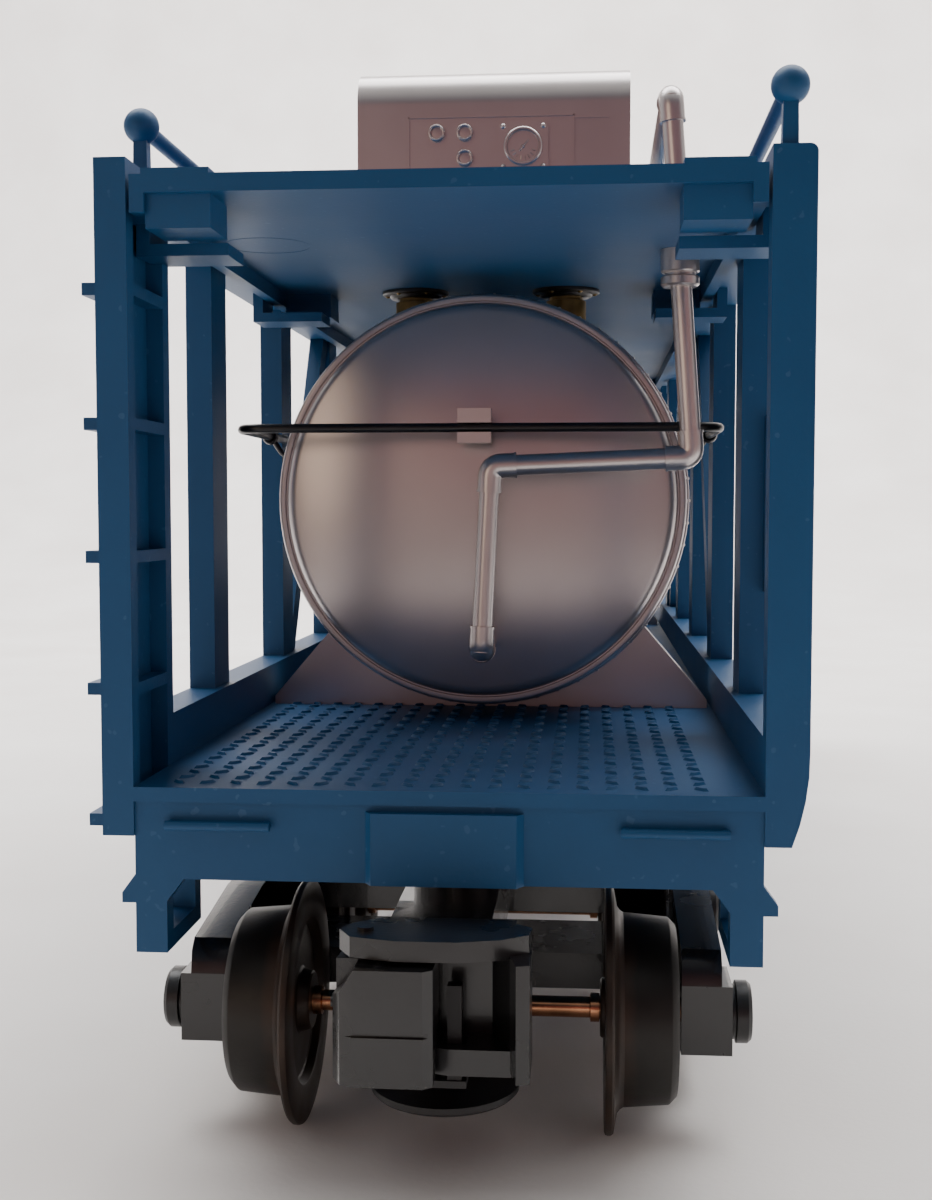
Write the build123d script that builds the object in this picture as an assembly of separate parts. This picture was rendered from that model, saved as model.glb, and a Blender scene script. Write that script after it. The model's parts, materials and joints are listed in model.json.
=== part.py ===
"""O gauge model tank wagon, 1:48: a silver tank inside an open blue frame, on two sprung trucks.

X runs across the wagon, Y along it and Z up. The origin is on the table under the wagon's
middle, and Z = 0 is the lowest point of the wheel flanges. The wagon looks the same after half
a turn about Z, except for the pipework and the control panel, which are at the -Y end only.
All sizes are in millimetres.
"""
import os
from math import sqrt

from build123d import *

# --- driving dimensions: the body ---------------------------------------------------------------
car_length = 257.0           # over the end posts
side_gap = 4.45              # between the tank and each side wall
wall_thickness = 3.75
ladder_inset = 0.9           # how far the outer face is set back where the ladder is
wall_bottom = 29.8
window_bottom = 39.1
wall_rise = 6.2               # from the top of the tank to the top of the wall
chord_height = 3.9            # of the wall's top chord
wall_corner = 0.7            # radius along the wall's upper outer edge
tuck_depth = 1.45            # how far the wall curves in at its lower outer edge
tuck_height = 8.2
post_recess = 0.9            # how far the posts' inner faces lie behind the chords' inner face
corner_post = 13.0           # along the wagon, at the corner with the ladder
plain_post = 2.5             # along the wagon, at the other corner
post_width = 6.5
panel_count = 7
panel_overrun = 2.0          # the panels' total length is this much more than the wagon's
brace_width = 4.0
brace_inset = 0.4            # of a brace's faces from the posts' faces
rung_count = 5
rung_drop = 7.2              # from the windows' top to the highest rung
rung_rise = 1.1              # from the wall's bottom to the lowest
rung_thickness = 1.1
rung_inset = 1.5             # of a rung's ends from the ladder post's edges
rung_reach = 0.8             # how far a rung stands beyond the plain wall face
pocket_depth = 1.6
pocket_margin = 2.0          # from the corner post's edges to its pockets
placard_low = 50.1
placard_high = 68.7
placard_thickness = 0.4
placard_reach = 1.2          # how far the placard overhangs its post

deck_top = 34.2
deck_plate = 1.3
lip = 0.3                    # how far the deck's edge stands out from the sill
sill_bottom = 25.9
sill_thickness = 2.4
skirt_thickness = 2.0
skirt_bottom = 28.5
pocket_half_width = 7.0
pocket_top = 32.3
pocket_reach = 1.0
grab_length = 9.4
grab_inset = 2.95            # of a grab iron and of a step, from the wall's inner face
grab_height = 30.9
grab_radius = 0.42
grab_stand = 0.75            # from the sill's face to the bar's middle
step_bottom = 19.2
step_length = 11.5
step_width = 2.85
step_leg = 2.0
step_tread = 1.6
sill_gap = 0.3               # the centre sill's underside lies this far above the end sills'
sill_half_width = 6.0
ballast_thickness = 2.0
ballast_half_width = 22.0
ballast_half_length = 60.0
screw_head = 2.0
screw_shank = 1.0

roof_drop = 1.5              # from the wall's top to the roof's
roof_plate = 1.6
roof_gap = 0.3               # between the roof's edge and the wall
roof_flange = 1.3
flange_drop = 1.7
clip_width = 5.8
clip_inset = 1.55            # from the wall's inner face
clip_length = 6.0
clip_depth = 3.0
clip_places = (0.6, 61.0)    # from the wagon's end to the start of each clip
tab_places = (6.9, 54.4)     # and to the start of each of the wall's ledges
tab_gap = 0.2                # how far a ledge lies below the clips
tab_thickness = 1.1
tab_root = 1.2               # how far a ledge reaches into the wall
strip_width = 6.0
strip_height = 0.5
strip_inset = 4.35           # of the strip's middle, from the wall's inner face
rail_rise = 5.1              # from the wall's top to the rail's middle
rail_radius = 0.75
rail_post = 1.35
ball_radius = 1.65
rail_near_inset = 0.6        # from the end of the wagon to the ball at the rail's long end
rail_far_inset = 10.0

# --- driving dimensions: the tank and what is on it ---------------------------------------------
tank_radius = 23.3
tank_wall = 1.2
platform = 44.0              # from the wagon's end to the tank's rim
tank_clearance = 2.4         # between the barrel and the deck
rim_proud = 0.4              # how far a rim stands out from the barrel
band_proud = 0.9
rim_width = 2.0
dome_depth = 3.4
knuckle_depth = 1.1          # how much of the dome's depth its tight outer bend takes
band_width = 3.2
saddle_inset = 17.0          # from the rim to the saddle's middle
saddle_thickness = 7.0
saddle_foot = 1.0
saddle_gap = 0.55            # between the saddle's foot and the side wall
saddle_screw = 1.6
saddle_screw_inset = 5.25    # from the wall's inner face
band_inset = 3.0             # from the end of the barrel to the first hoop's middle
flange_radius = 4.2
flange_thickness = 0.9
stub_radius = 2.5
stub_offset = 9.5
wire_radius = 0.52
wire_rise = 8.0              # above the tank's centre line
wire_side = 3.6              # from the barrel to the wire
wire_front = 7.25            # from the rim to the wire
wire_corner = 3.0
clip_span = (-2.0, 1.7)      # across the wagon, of the clips that hold the wire at the heads
clip_above = 2.1
clip_below = 1.7
boss_radius = 1.3            # of the bosses that carry the wire on the tank's sides
boss_drop = 2.2              # from the wire down to a boss
boss_gap = 2.4               # from a boss's end out to the wire
eyelet_half = 0.6            # half an eyelet's length along the wire
stanchion_inset = 8.5        # from the end of the barrel to the first boss
pipe_radius = 1.15
elbow_radius = 1.4
pipe_front = 11.5            # from the rim to the plane of the pipework
outlet_x = 0.9
outlet_drop = 16.5           # from the tank's centre line to the feed pipe's outlet
pipe_rise = 20.1             # of the feed pipe's upright
vent_height = 13.1           # of the vent pipe's level run, above the roof
vent_end = 25.0              # from the cabinet's front to where the vent pipe enters its side
pipe_inset = 5.75            # from the wall's inner face to the pipe at the roof
collar_radius = 2.05
cabinet_width = 35.0
cabinet_length = 127.0
cabinet_height = 27.8
cabinet_edge = 5.0
cabinet_wall = 1.2
panel_left = -10.9
panel_right = 10.4
panel_height = 21.2
button_radius = 1.07
button_rise = 19.1           # of the upper buttons, above the roof
button_column = -3.6
button_pitch = 3.6
dial_x = 3.9
dial_rise = 17.2
dial_plate = 3.2             # half the width of the gauge's square plate
dial_radius = 2.45

# --- driving dimensions: the trucks and couplers ------------------------------------------------
truck_inset = 29.5           # from the wagon's end to the truck's middle
flange_tip = 11.5            # wheel flange radius, which is the axle's height
flange_depth = 2.6
wheel_to_middle = 6.5        # from a flange's edge to the truck's middle
tread_taper = 0.3
back_to_back = 28.4
flange_width = 1.4
wheel_width = 6.7
axle_radius = 1.1
running_gap = 0.05           # radial clearance of a shaft in a bore
wheel_gap = 0.4              # between wheel and side frame
frame_thickness = 3.7
box_proud = 1.0              # of the journal box, from the side frame
cap_proud = 1.9
cap_gap = 0.1                # between journal box and cap
cap_cover = 0.8              # metal outside the axle's end
box_half = 3.2               # half the journal box's width and height
cap_radius = 2.9
spring_travel = 0.8
spring_radius = 1.7
spring_wall = 0.6
spring_spacing = 2.4         # from the middle of the side frame to each spring
spring_seat = 8.0
window_head = 16.7           # top of the side frame's window
spring_top = 12.9
bolster_bottom = 17.0
bolster_knee = 14.6          # underside of the beam's thick ends
knee_inner = 16.5
bolster_top = 20.2
bolster_half = 4.8
plank_top = 13.1
plank_bottom = 10.8
plank_lap = 1.35             # how much wider the plank is than the bolster, each way
plate_gap = 0.05             # between the centre plates of truck and body
pivot_radius = 1.5
pivot_head = 2.8
pivot_sink = 2.4             # from the bolster's top to the top of the screw's head
coupler_reach = 41.5         # from the truck's centre to the knuckle's face
coupler_bottom = 12.4
coupler_top = 24.0
hood_thickness = 2.1         # of the coupler's hood and the gap below it
knuckle_pin = 0.7
knuckle_pin_x = -5.8
knuckle_pin_y = -37.0
disc_radius = 6.6
disc_bottom = 7.2
flap_from_axle = 4.4
flap_height = 11.9
flap_pin = 0.4
truck_to_disc = 28.2

# --- places worked out from them ----------------------------------------------------------------
half_length = car_length / 2
tank_height = deck_top + tank_clearance + tank_radius
wall_inner = tank_radius + side_gap
wall_outer = wall_inner + wall_thickness
ladder_face = wall_outer - ladder_inset
wall_top = tank_height + tank_radius + wall_rise
window_top = wall_top - chord_height
post_pitch = (car_length + panel_overrun) / panel_count
rung_top = window_top - rung_drop
rung_pitch = (rung_top - wall_bottom - rung_rise) / (rung_count - 1)
grab_outer = wall_inner - grab_inset
step_inner = wall_inner - step_width
roof_top = wall_top - roof_drop
roof_bottom = roof_top - roof_plate
clip_outer = wall_inner - clip_inset
clip_inner = clip_outer - clip_width
strip_centre = wall_inner - strip_inset
rail_top = wall_top + rail_rise
rim_radius = tank_radius + rim_proud
rim_plane = half_length - platform
band_radius = tank_radius + band_proud
saddle_from_centre = rim_plane - saddle_inset
wire_height = tank_height + wire_rise
wire_half_width = tank_radius + wire_side
wire_half_length = rim_plane + wire_front
pipe_y = -rim_plane - pipe_front
pipe_top_x = wall_inner - pipe_inset
truck_centre = half_length - truck_inset
axle_height = flange_tip
tread_radius = flange_tip - flange_depth
wheelbase = 2 * (flange_tip + wheel_to_middle)
journal = wheelbase / 2
frame_inner = back_to_back / 2 + wheel_width + wheel_gap
frame_outer = frame_inner + frame_thickness
box_outer = frame_outer + box_proud
cap_outer = box_outer + cap_proud
bolster_drop = frame_inner - 1.1
knuckle_top = coupler_top - hood_thickness
flap_pin_reach = journal + flap_from_axle
collar_bottom = roof_bottom - 3.9


# --- small shape makers ---------------------------------------------------------------------------
def block(x0, x1, y0, y1, z0, z1):
    """A box between two corners."""
    centre = Pos((x0 + x1) / 2, (y0 + y1) / 2, (z0 + z1) / 2)
    return centre * Box(abs(x1 - x0), abs(y1 - y0), abs(z1 - z0))


def rod_x(radius, x0, x1, y, z):
    """A round bar along X."""
    return Pos((x0 + x1) / 2, y, z) * Rot(0, 90, 0) * Cylinder(radius, abs(x1 - x0))


def rod_y(radius, y0, y1, x, z):
    """A round bar along Y."""
    return Pos(x, (y0 + y1) / 2, z) * Rot(90, 0, 0) * Cylinder(radius, abs(y1 - y0))


def rod_z(radius, z0, z1, x, y):
    """An upright round bar."""
    return Pos(x, y, (z0 + z1) / 2) * Cylinder(radius, abs(z1 - z0))


def slab_x(points, x0, x1):
    """A plate with an outline in Y and Z, from x0 to x1."""
    plane = Plane(origin=(x0, 0, 0), x_dir=(0, 1, 0), z_dir=(1, 0, 0))
    return extrude(plane * make_face(Polyline(*points, close=True)), x1 - x0)


def slab_y(points, y0, y1):
    """A plate with an outline in X and Z, from y0 to y1."""
    plane = Plane(origin=(0, y1, 0), x_dir=(1, 0, 0), z_dir=(0, -1, 0))
    return extrude(plane * make_face(Polyline(*points, close=True)), y1 - y0)


def slab_z(points, z0, z1):
    """A plate with an outline in X and Y, from z0 to z1."""
    plane = Plane(origin=(0, 0, z0), x_dir=(1, 0, 0), z_dir=(0, 0, 1))
    return extrude(plane * make_face(Polyline(*points, close=True)), z1 - z0)


def tube_through(points, radius, joint_radius):
    """Straight round bars from point to point, with a ball at each corner between them."""
    bars = []
    for start, end in zip(points, points[1:]):
        line = Line(start, end)
        bars.append(sweep(Plane(origin=start, z_dir=line % 0) * Circle(radius), path=line))
    balls = [Pos(*corner) * Sphere(joint_radius) for corner in points[1:-1]]
    return bars[0].fuse(*bars[1:], *balls)


def half_turn(shape):
    """The same shape at the wagon's other end."""
    return Rot(0, 0, 180) * shape


def both_ends(shape):
    """The shape and its copy at the other end, as one group."""
    return [shape, half_turn(shape)]


def mirror_x(shape):
    """The shape and its mirror image on the other side of the wagon's middle plane."""
    return [shape, mirror(shape, Plane.YZ)]


# --- the body ---------------------------------------------------------------------------------------
def post_places():
    """Y of the middle of each post between the two corner posts."""
    inner_posts = panel_count - 1
    first = -post_pitch * (inner_posts - 1) / 2
    return [first + post_pitch * index for index in range(inner_posts)]


def window_spans():
    """The Y range of each window, from the -Y end to the +Y end."""
    edges = [-half_length + plain_post]
    for place in post_places():
        edges += [place - post_width / 2, place + post_width / 2]
    edges.append(half_length - corner_post)
    return list(zip(edges[::2], edges[1::2]))


def brace(span, x0, x1, rising):
    """A diagonal across one window, rising towards +Y or falling."""
    low, high = span
    slope = brace_width / 2
    bottom = window_bottom - slope
    top = window_top + slope
    start, end = (low, high) if rising else (high, low)
    points = [(start - slope, bottom), (start + slope, bottom), (end + slope, top), (end - slope, top)]
    return slab_x(points, x0, x1)


def rung_heights():
    """Height of each ladder rung."""
    return [rung_top - rung_pitch * index for index in range(rung_count)]


def wall_section():
    """The wall's plain section in X and Z: a rounded top edge and a lower edge that curves in."""
    tuck_start = wall_outer - tuck_depth
    tuck_end = wall_bottom + tuck_height
    tuck_middle = (wall_outer - tuck_depth * 0.27, wall_bottom + tuck_height * 0.45)
    corner = wall_corner * (1 - sqrt(0.5))
    outline = [
        Line((wall_inner, wall_top), (wall_inner, wall_bottom)),
        Line((wall_inner, wall_bottom), (tuck_start, wall_bottom)),
        ThreePointArc((tuck_start, wall_bottom), tuck_middle, (wall_outer, tuck_end)),
        Line((wall_outer, tuck_end), (wall_outer, wall_top - wall_corner)),
        ThreePointArc((wall_outer, wall_top - wall_corner), (wall_outer - corner, wall_top - corner),
                      (wall_outer - wall_corner, wall_top)),
        Line((wall_outer - wall_corner, wall_top), (wall_inner, wall_top)),
    ]
    return make_face(outline)


def ladder_pockets():
    """Hollows on the ladder post's inner face, one between each pair of rungs."""
    low_y = half_length - corner_post + pocket_margin
    high_y = half_length - pocket_margin
    levels = [window_top] + rung_heights()
    gap = rung_thickness / 2
    pockets = []
    for upper, lower in zip(levels, levels[1:]):
        pockets.append(block(wall_inner - 1, wall_inner + pocket_depth, low_y, high_y,
                             lower + gap, upper - gap))
    return pockets


def roof_tabs(side_inner):
    """The wall's ledges under the roof, one beside each clip, with roots that rise to the top chord."""
    top = roof_bottom - clip_depth - tab_gap
    tabs = []
    for place in tab_places:
        start = -half_length + place
        ledge = block(clip_inner, side_inner + tab_root, start, start + clip_length, top - tab_thickness, top)
        root = block(side_inner, side_inner + tab_root, start, start + clip_length, top - tab_thickness,
                     window_top + 0.3)
        tabs.append(ledge.fuse(root))
    return tabs + [mirror(tab, Plane.XZ) for tab in tabs]


def side_wall():
    """The +X wall: chords, posts and braces, with the ladder at its +Y corner."""
    section_plane = Plane(origin=(0, half_length, 0), x_dir=(1, 0, 0), z_dir=(0, -1, 0))
    wall = extrude(section_plane * wall_section(), car_length)
    ladder_start = half_length - corner_post
    wall = wall.cut(block(wall_inner - 1, wall_outer + 1, ladder_start, half_length + 1,
                          wall_bottom - 1, wall_top + 1))
    wall = wall.fuse(block(wall_inner, ladder_face, ladder_start, half_length, wall_bottom, wall_top))
    spans = window_spans()
    wall = wall.cut(*[block(wall_inner - 1, wall_outer + 1, low, high, window_bottom, window_top)
                      for low, high in spans])
    post_face = wall_inner + post_recess
    first_window = -half_length + plain_post
    wall = wall.cut(block(wall_inner - 1, post_face, first_window, ladder_start,
                          window_bottom, window_top))
    for index in (2, panel_count - 3):
        wall = wall.fuse(brace(spans[index], post_face + brace_inset, wall_outer - brace_inset, index == 2))
    wall = wall.cut(*ladder_pockets())
    rungs = [block(ladder_face - 0.4, wall_outer + rung_reach, ladder_start + rung_inset,
                   half_length - rung_inset,
                   height - rung_thickness / 2, height + rung_thickness / 2)
             for height in rung_heights()]
    placard_start = post_places()[0] - post_width / 2 - placard_reach
    placard = block(wall_outer - 0.4, wall_outer + placard_thickness,
                    placard_start, placard_start + post_width + 2 * placard_reach,
                    placard_low, placard_high)
    return wall.fuse(*rungs, placard, *roof_tabs(wall_inner))


def grab_iron():
    """A grab iron on the +X half of the -Y end sill: a bar on two short legs."""
    face = -half_length + lip
    bar_y = face - grab_stand
    grab_inner = grab_outer - grab_length
    bar = rod_x(grab_radius, grab_inner, grab_outer, bar_y, grab_height)
    legs = [rod_y(grab_radius, bar_y, face + 0.5, x, grab_height)
            for x in (grab_inner + grab_radius, grab_outer - grab_radius)]
    return bar.fuse(*legs)


def corner_step():
    """The stirrup step under the +X corner of the -Y end, with its gusset and outer cleat."""
    start = -half_length + lip
    frame = block(step_inner, wall_inner, start, start + step_length, step_bottom, skirt_bottom)
    opening = block(step_inner - 1, wall_inner + 1, start + step_leg, start + step_length - step_leg,
                    step_bottom + step_tread, sill_bottom - 1.0)
    frame = frame.cut(opening)
    gusset = slab_y([(step_inner - 1.9, sill_bottom + 0.5), (step_inner + 0.5, sill_bottom + 0.5),
                     (step_inner + 0.5, sill_bottom - 2.0), (step_inner, sill_bottom - 2.0)],
                    start, start + step_leg)
    cleat = slab_y([(wall_inner - 0.5, sill_bottom - 2.2), (wall_inner + 1.25, sill_bottom - 2.2),
                    (wall_inner + 1.25, sill_bottom - 1.3), (wall_inner, sill_bottom + 0.4),
                    (wall_inner - 0.5, sill_bottom + 0.4)], start, start + step_leg)
    return frame.fuse(gusset, cleat)


def end_sill():
    """The -Y end sill with its coupler pocket, grab irons and steps."""
    face = -half_length + lip
    plate_bottom = deck_top - deck_plate
    sill = block(-wall_inner, wall_inner, face, face + sill_thickness, sill_bottom, plate_bottom + 0.2)
    slope = 0.6
    plane = Plane(origin=(0, 0, sill_bottom), x_dir=(1, 0, 0), z_dir=(0, 0, 1))
    outline = Polyline((-pocket_half_width, face + 0.5), (-pocket_half_width, face),
                       (-pocket_half_width + slope, face - pocket_reach),
                       (pocket_half_width - slope, face - pocket_reach), (pocket_half_width, face),
                       (pocket_half_width, face + 0.5), close=True)
    pocket = extrude(plane * make_face(outline), pocket_top - sill_bottom)
    return sill.fuse(pocket, *mirror_x(grab_iron()), *mirror_x(corner_step()))


def deck():
    """The floor moulding: plate, side skirts and both end sills."""
    plate_bottom = deck_top - deck_plate
    floor = block(-wall_inner, wall_inner, -half_length, half_length, plate_bottom, deck_top)
    skirt = block(wall_inner - skirt_thickness, wall_inner, -half_length + lip, half_length - lip,
                  skirt_bottom, plate_bottom + 0.2)
    return floor.fuse(*mirror_x(skirt), *both_ends(end_sill()))


def roof():
    """The roof moulding: a plate with raised strips, side flanges and clips underneath."""
    edge = wall_inner - roof_gap
    plate = block(-edge, edge, -half_length, half_length, roof_bottom, roof_top)
    flange = block(edge - roof_flange, edge, -half_length, half_length,
                   roof_bottom - flange_drop, roof_bottom + 0.2)
    strip = block(strip_centre - strip_width / 2, strip_centre + strip_width / 2,
                  -half_length, half_length, roof_top - 0.2, roof_top + strip_height)
    clips = []
    for place in clip_places:
        start = -half_length + place
        clips.append(block(clip_inner, clip_outer, start, start + clip_length,
                           roof_bottom - clip_depth, roof_bottom + 0.2))
    clips += [mirror(clip, Plane.XZ) for clip in clips]
    pieces = []
    for piece in [flange, strip] + clips:
        pieces += mirror_x(piece)
    return plate.fuse(*pieces)


def roof_rail():
    """The +X roof handrail: a round bar on square posts, with a ball elbow at each end."""
    x = wall_inner + wall_thickness * 0.4
    start = -half_length + rail_near_inset
    end = half_length - rail_far_inset
    half_post = rail_post / 2
    bar = rod_y(rail_radius, start, end, x, rail_top)
    posts = [block(x - half_post, x + half_post, y - half_post, y + half_post, wall_top, rail_top)
             for y in [start + half_post] + post_places() + [end]]
    balls = [Pos(x, y, rail_top) * Sphere(ball_radius) for y in (start + half_post, end)]
    return bar.fuse(*posts, *balls)


# --- the tank -----------------------------------------------------------------------------------------
def tank_barrel():
    """The tank's shell, open at both ends."""
    end = rim_plane - rim_width
    shell = rod_y(tank_radius, -end, end, 0, tank_height)
    return shell.cut(rod_y(tank_radius - tank_wall, -end - 1, end + 1, 0, tank_height))


def tank_head():
    """The -Y head: a shallow dome with a rim ring that closes the barrel."""
    back = -rim_plane + rim_width
    front = -rim_plane
    edge = rim_radius - 0.5
    shoulder = (rim_radius - 2.6, front - knuckle_depth)
    rise = dome_depth - knuckle_depth
    sphere = (shoulder[0] ** 2 + rise ** 2) / (2 * rise)
    half_way = shoulder[0] / 2
    dome_middle = (half_way, front - dome_depth + sphere - sqrt(sphere ** 2 - half_way ** 2))
    knuckle_middle = ((edge + shoulder[0]) / 2 + 0.35, front - knuckle_depth * 0.7)
    outline = [
        Line((0, back), (rim_radius, back)),
        Line((rim_radius, back), (rim_radius, front + 0.4)),
        Line((rim_radius, front + 0.4), (edge, front)),
        ThreePointArc((edge, front), knuckle_middle, shoulder),
        ThreePointArc(shoulder, dome_middle, (0, front - dome_depth)),
        Line((0, front - dome_depth), (0, back)),
    ]
    return Pos(0, 0, tank_height) * revolve(make_face(outline), Axis.Y)


def tank_bands():
    """Four hoops round the barrel."""
    hoops = []
    outer = rim_plane - rim_width - band_inset
    for y in (-outer, -post_pitch / 2, post_pitch / 2, outer):
        hoop = rod_y(band_radius, y - band_width / 2, y + band_width / 2, 0, tank_height)
        hoops.append(hoop.cut(rod_y(tank_radius, y - band_width, y + band_width, 0, tank_height)))
    return hoops


def tank_saddle():
    """The -Y saddle: a full-width plate on the deck with a cradle that fits the barrel."""
    outer = wall_inner - saddle_gap
    shoulder = (tank_radius - 2.5, tank_height - 17.2)
    tip = (tank_radius - 4.7, tank_height - 14.6)
    half = [(outer, deck_top), (outer, deck_top + saddle_foot), shoulder, tip]
    outline = half + [(-x, z) for x, z in reversed(half)]
    y = -saddle_from_centre
    plate = slab_y(outline, y - saddle_thickness / 2, y + saddle_thickness / 2)
    cradle = rod_y(tank_radius, y - saddle_thickness, y + saddle_thickness, 0, tank_height)
    return plate.cut(cradle)


def saddle_screws():
    """Two screws through the deck into each saddle's foot, with their heads below the deck."""
    screws = []
    screw_x = wall_inner - saddle_screw_inset
    for x in (-screw_x, screw_x):
        head = rod_z(saddle_screw, deck_top - deck_plate - 0.8, deck_top - deck_plate, x, -saddle_from_centre)
        screws += both_ends(head)
    return screws


def top_flanges():
    """Round black flanges under the roof that steady the tank."""
    flanges = []
    for x in (-stub_offset, stub_offset):
        flanges += both_ends(rod_z(flange_radius, roof_bottom - flange_thickness, roof_bottom,
                                   x, -saddle_from_centre))
    return flanges


def top_stubs():
    """Short brass posts between the tank and its flanges."""
    stubs = []
    barrel = rod_y(tank_radius, -rim_plane, rim_plane, 0, tank_height)
    for x in (-stub_offset, stub_offset):
        post = rod_z(stub_radius, tank_height + tank_radius - 4, roof_bottom - flange_thickness,
                     x, -saddle_from_centre)
        stubs += both_ends(post.cut(barrel))
    return stubs


def tank_handrail():
    """A wire loop round the tank: a rounded rectangle in a level plane."""
    loop = RectangleRounded(2 * wire_half_width, 2 * wire_half_length, wire_corner)
    path = Pos(0, 0, wire_height) * loop.wire()
    start = path @ 0
    section = Plane(origin=start, z_dir=path % 0) * Circle(wire_radius)
    return sweep(section, path=path, transition=Transition.RIGHT)


def stanchion_places():
    """Y of the stanchions along the handrail's sides."""
    outer = rim_plane - rim_width - stanchion_inset
    return [-outer, -outer / 3, outer / 3, outer]


def handrail_bosses():
    """Silver bosses on the tank's sides, and the clip on each head that holds the wire."""
    barrel = rod_y(tank_radius, -rim_plane, rim_plane, 0, tank_height)
    level = wire_height - boss_drop
    bosses = []
    for y in stanchion_places():
        boss = rod_x(boss_radius, tank_radius - 4, wire_half_width - boss_gap, y, level).cut(barrel)
        bosses += mirror_x(boss)
    gap = wire_radius
    back = -wire_half_length + gap
    front = -wire_half_length - 0.9
    left, right = clip_span
    low, high = wire_height - clip_below, wire_height + clip_above
    upper = block(left, right, front, back, wire_height + gap, high)
    lower = block(left, right, front, back, low, wire_height - gap)
    plate = block(left, right, back, back + 0.8, low, high)
    stem = block(left + 0.9, right - 0.9, back + 0.4, -rim_plane, low + 0.6, high - 0.6)
    clip = upper.fuse(lower, plate, stem).cut(tank_head())
    clip = clip.solids().sort_by(Axis.Y)[0]
    return bosses + both_ends(clip)


def handrail_eyelets():
    """Black eyelets that hold the wire out from the bosses."""
    eyelets = []
    for y in stanchion_places():
        near, far = y - eyelet_half, y + eyelet_half
        eye = rod_y(wire_radius + 0.25, near, far, wire_half_width, wire_height)
        foot = wire_half_width - boss_gap
        arm = slab_y([(foot, wire_height - 2.9), (foot + 0.8, wire_height - 2.9),
                      (wire_half_width + 0.2, wire_height - 0.6), (wire_half_width - 0.4, wire_height - 0.3),
                      (foot, wire_height - 1.5)], near, far)
        wire = rod_y(wire_radius, y - 2, y + 2, wire_half_width, wire_height)
        eyelets += mirror_x(eye.fuse(arm).cut(wire))
    return eyelets


# --- pipework and cabinet -------------------------------------------------------------------------------
def feed_pipe():
    """The pipe from the -Y head up to the roof, in one plane just outside the handrail."""
    low = tank_height - outlet_drop
    high = low + pipe_rise
    points = [(outlet_x, -rim_plane - 0.5, low), (outlet_x, pipe_y, low), (outlet_x + 1.0, pipe_y, high),
              (pipe_top_x + 1.4, pipe_y, high + 0.9), (pipe_top_x + 0.1, pipe_y, collar_bottom + 0.5)]
    pipe = tube_through(points, pipe_radius, elbow_radius)
    above = block(0, wall_inner, pipe_y - 5, pipe_y + 5, collar_bottom, roof_top)
    return pipe.cut(tank_head(), above)


def pipe_collar():
    """A collar and a flange ring where the feed pipe meets the roof."""
    lower = rod_z(collar_radius, collar_bottom, roof_bottom - 2.8, pipe_top_x, pipe_y)
    neck = rod_z(collar_radius - 0.5, roof_bottom - 2.8, roof_bottom - 2.4, pipe_top_x, pipe_y)
    upper = rod_z(collar_radius, roof_bottom - 2.4, roof_bottom, pipe_top_x, pipe_y)
    return lower.fuse(neck, upper)


def vent_pipe():
    """The pipe above the roof: up, back beside the cabinet and into its side."""
    run_y = -cabinet_length / 2 + vent_end
    base = roof_top + strip_height
    bend = pipe_top_x - 1.1
    run_height = roof_top + vent_height
    points = [(pipe_top_x, pipe_y, base - 0.5), (bend, pipe_y, run_height + 1.3), (bend, run_y, run_height),
              (cabinet_width / 2, run_y, run_height)]
    below = block(0, wall_inner, pipe_y - 5, pipe_y + 5, roof_bottom, base)
    return tube_through(points, pipe_radius, elbow_radius).cut(below)


def cabinet():
    """The roof cabinet: a hollow box with rounded long-end edges."""
    low = roof_top
    high = roof_top + cabinet_height
    half_x = cabinet_width / 2
    half_y = cabinet_length / 2
    body = block(-half_x, half_x, -half_y, half_y, low, high)
    top_edges = body.edges().filter_by(Axis.X).group_by(Axis.Z)[-1]
    body = fillet(top_edges, cabinet_edge)
    hollow = block(-half_x + cabinet_wall, half_x - cabinet_wall, -half_y + cabinet_wall,
                   half_y - cabinet_wall, low - 1, high - cabinet_edge)
    return body.cut(hollow)


def control_panel():
    """A plate on the cabinet's -Y face with three buttons and a round gauge."""
    face = -cabinet_length / 2
    plate = block(panel_left, panel_right, face - 0.35, face, roof_top + 0.5, roof_top + panel_height)
    upper = roof_top + button_rise
    places = [(button_column - button_pitch, upper), (button_column, upper), (button_column, upper - 3.2)]
    buttons = [rod_y(button_radius, face - 0.75, face, x, z) for x, z in places]
    dial_z = roof_top + dial_rise
    gauge_plate = block(dial_x - dial_plate, dial_x + dial_plate, face - 0.6, face,
                        dial_z - dial_plate, dial_z + dial_plate)
    sunk = rod_y(dial_radius - 0.55, face - 2, face - 0.75, dial_x, dial_z)
    gauge = rod_y(dial_radius, face - 1.1, face, dial_x, dial_z).cut(sunk)
    return plate.fuse(*buttons, gauge_plate, gauge)


# --- the frame under the deck -----------------------------------------------------------------------------
def centre_sill():
    """The metal centre sill with a round centre plate over each truck."""
    top = deck_top - deck_plate
    bottom = sill_bottom + sill_gap
    end = half_length - lip - sill_thickness
    beam = block(-sill_half_width, sill_half_width, -end, end, bottom, top - ballast_thickness)
    bosses = both_ends(rod_z(sill_half_width, bolster_top + plate_gap, top, 0, -truck_centre))
    pads = both_ends(block(-sill_half_width, sill_half_width, -half_length + 8, -ballast_half_length - 0.5,
                           top - ballast_thickness - 0.5, top))
    sill = beam.fuse(*bosses, *pads)
    return sill.cut(*both_ends(rod_z(pivot_radius, 0, top - 4, 0, -truck_centre)), *sill_screws())


def ballast():
    """The steel weight between deck and centre sill."""
    top = deck_top - deck_plate
    plate = block(-ballast_half_width, ballast_half_width, -ballast_half_length, ballast_half_length,
                  top - ballast_thickness, top)
    return plate.cut(*sill_screws())


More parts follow.
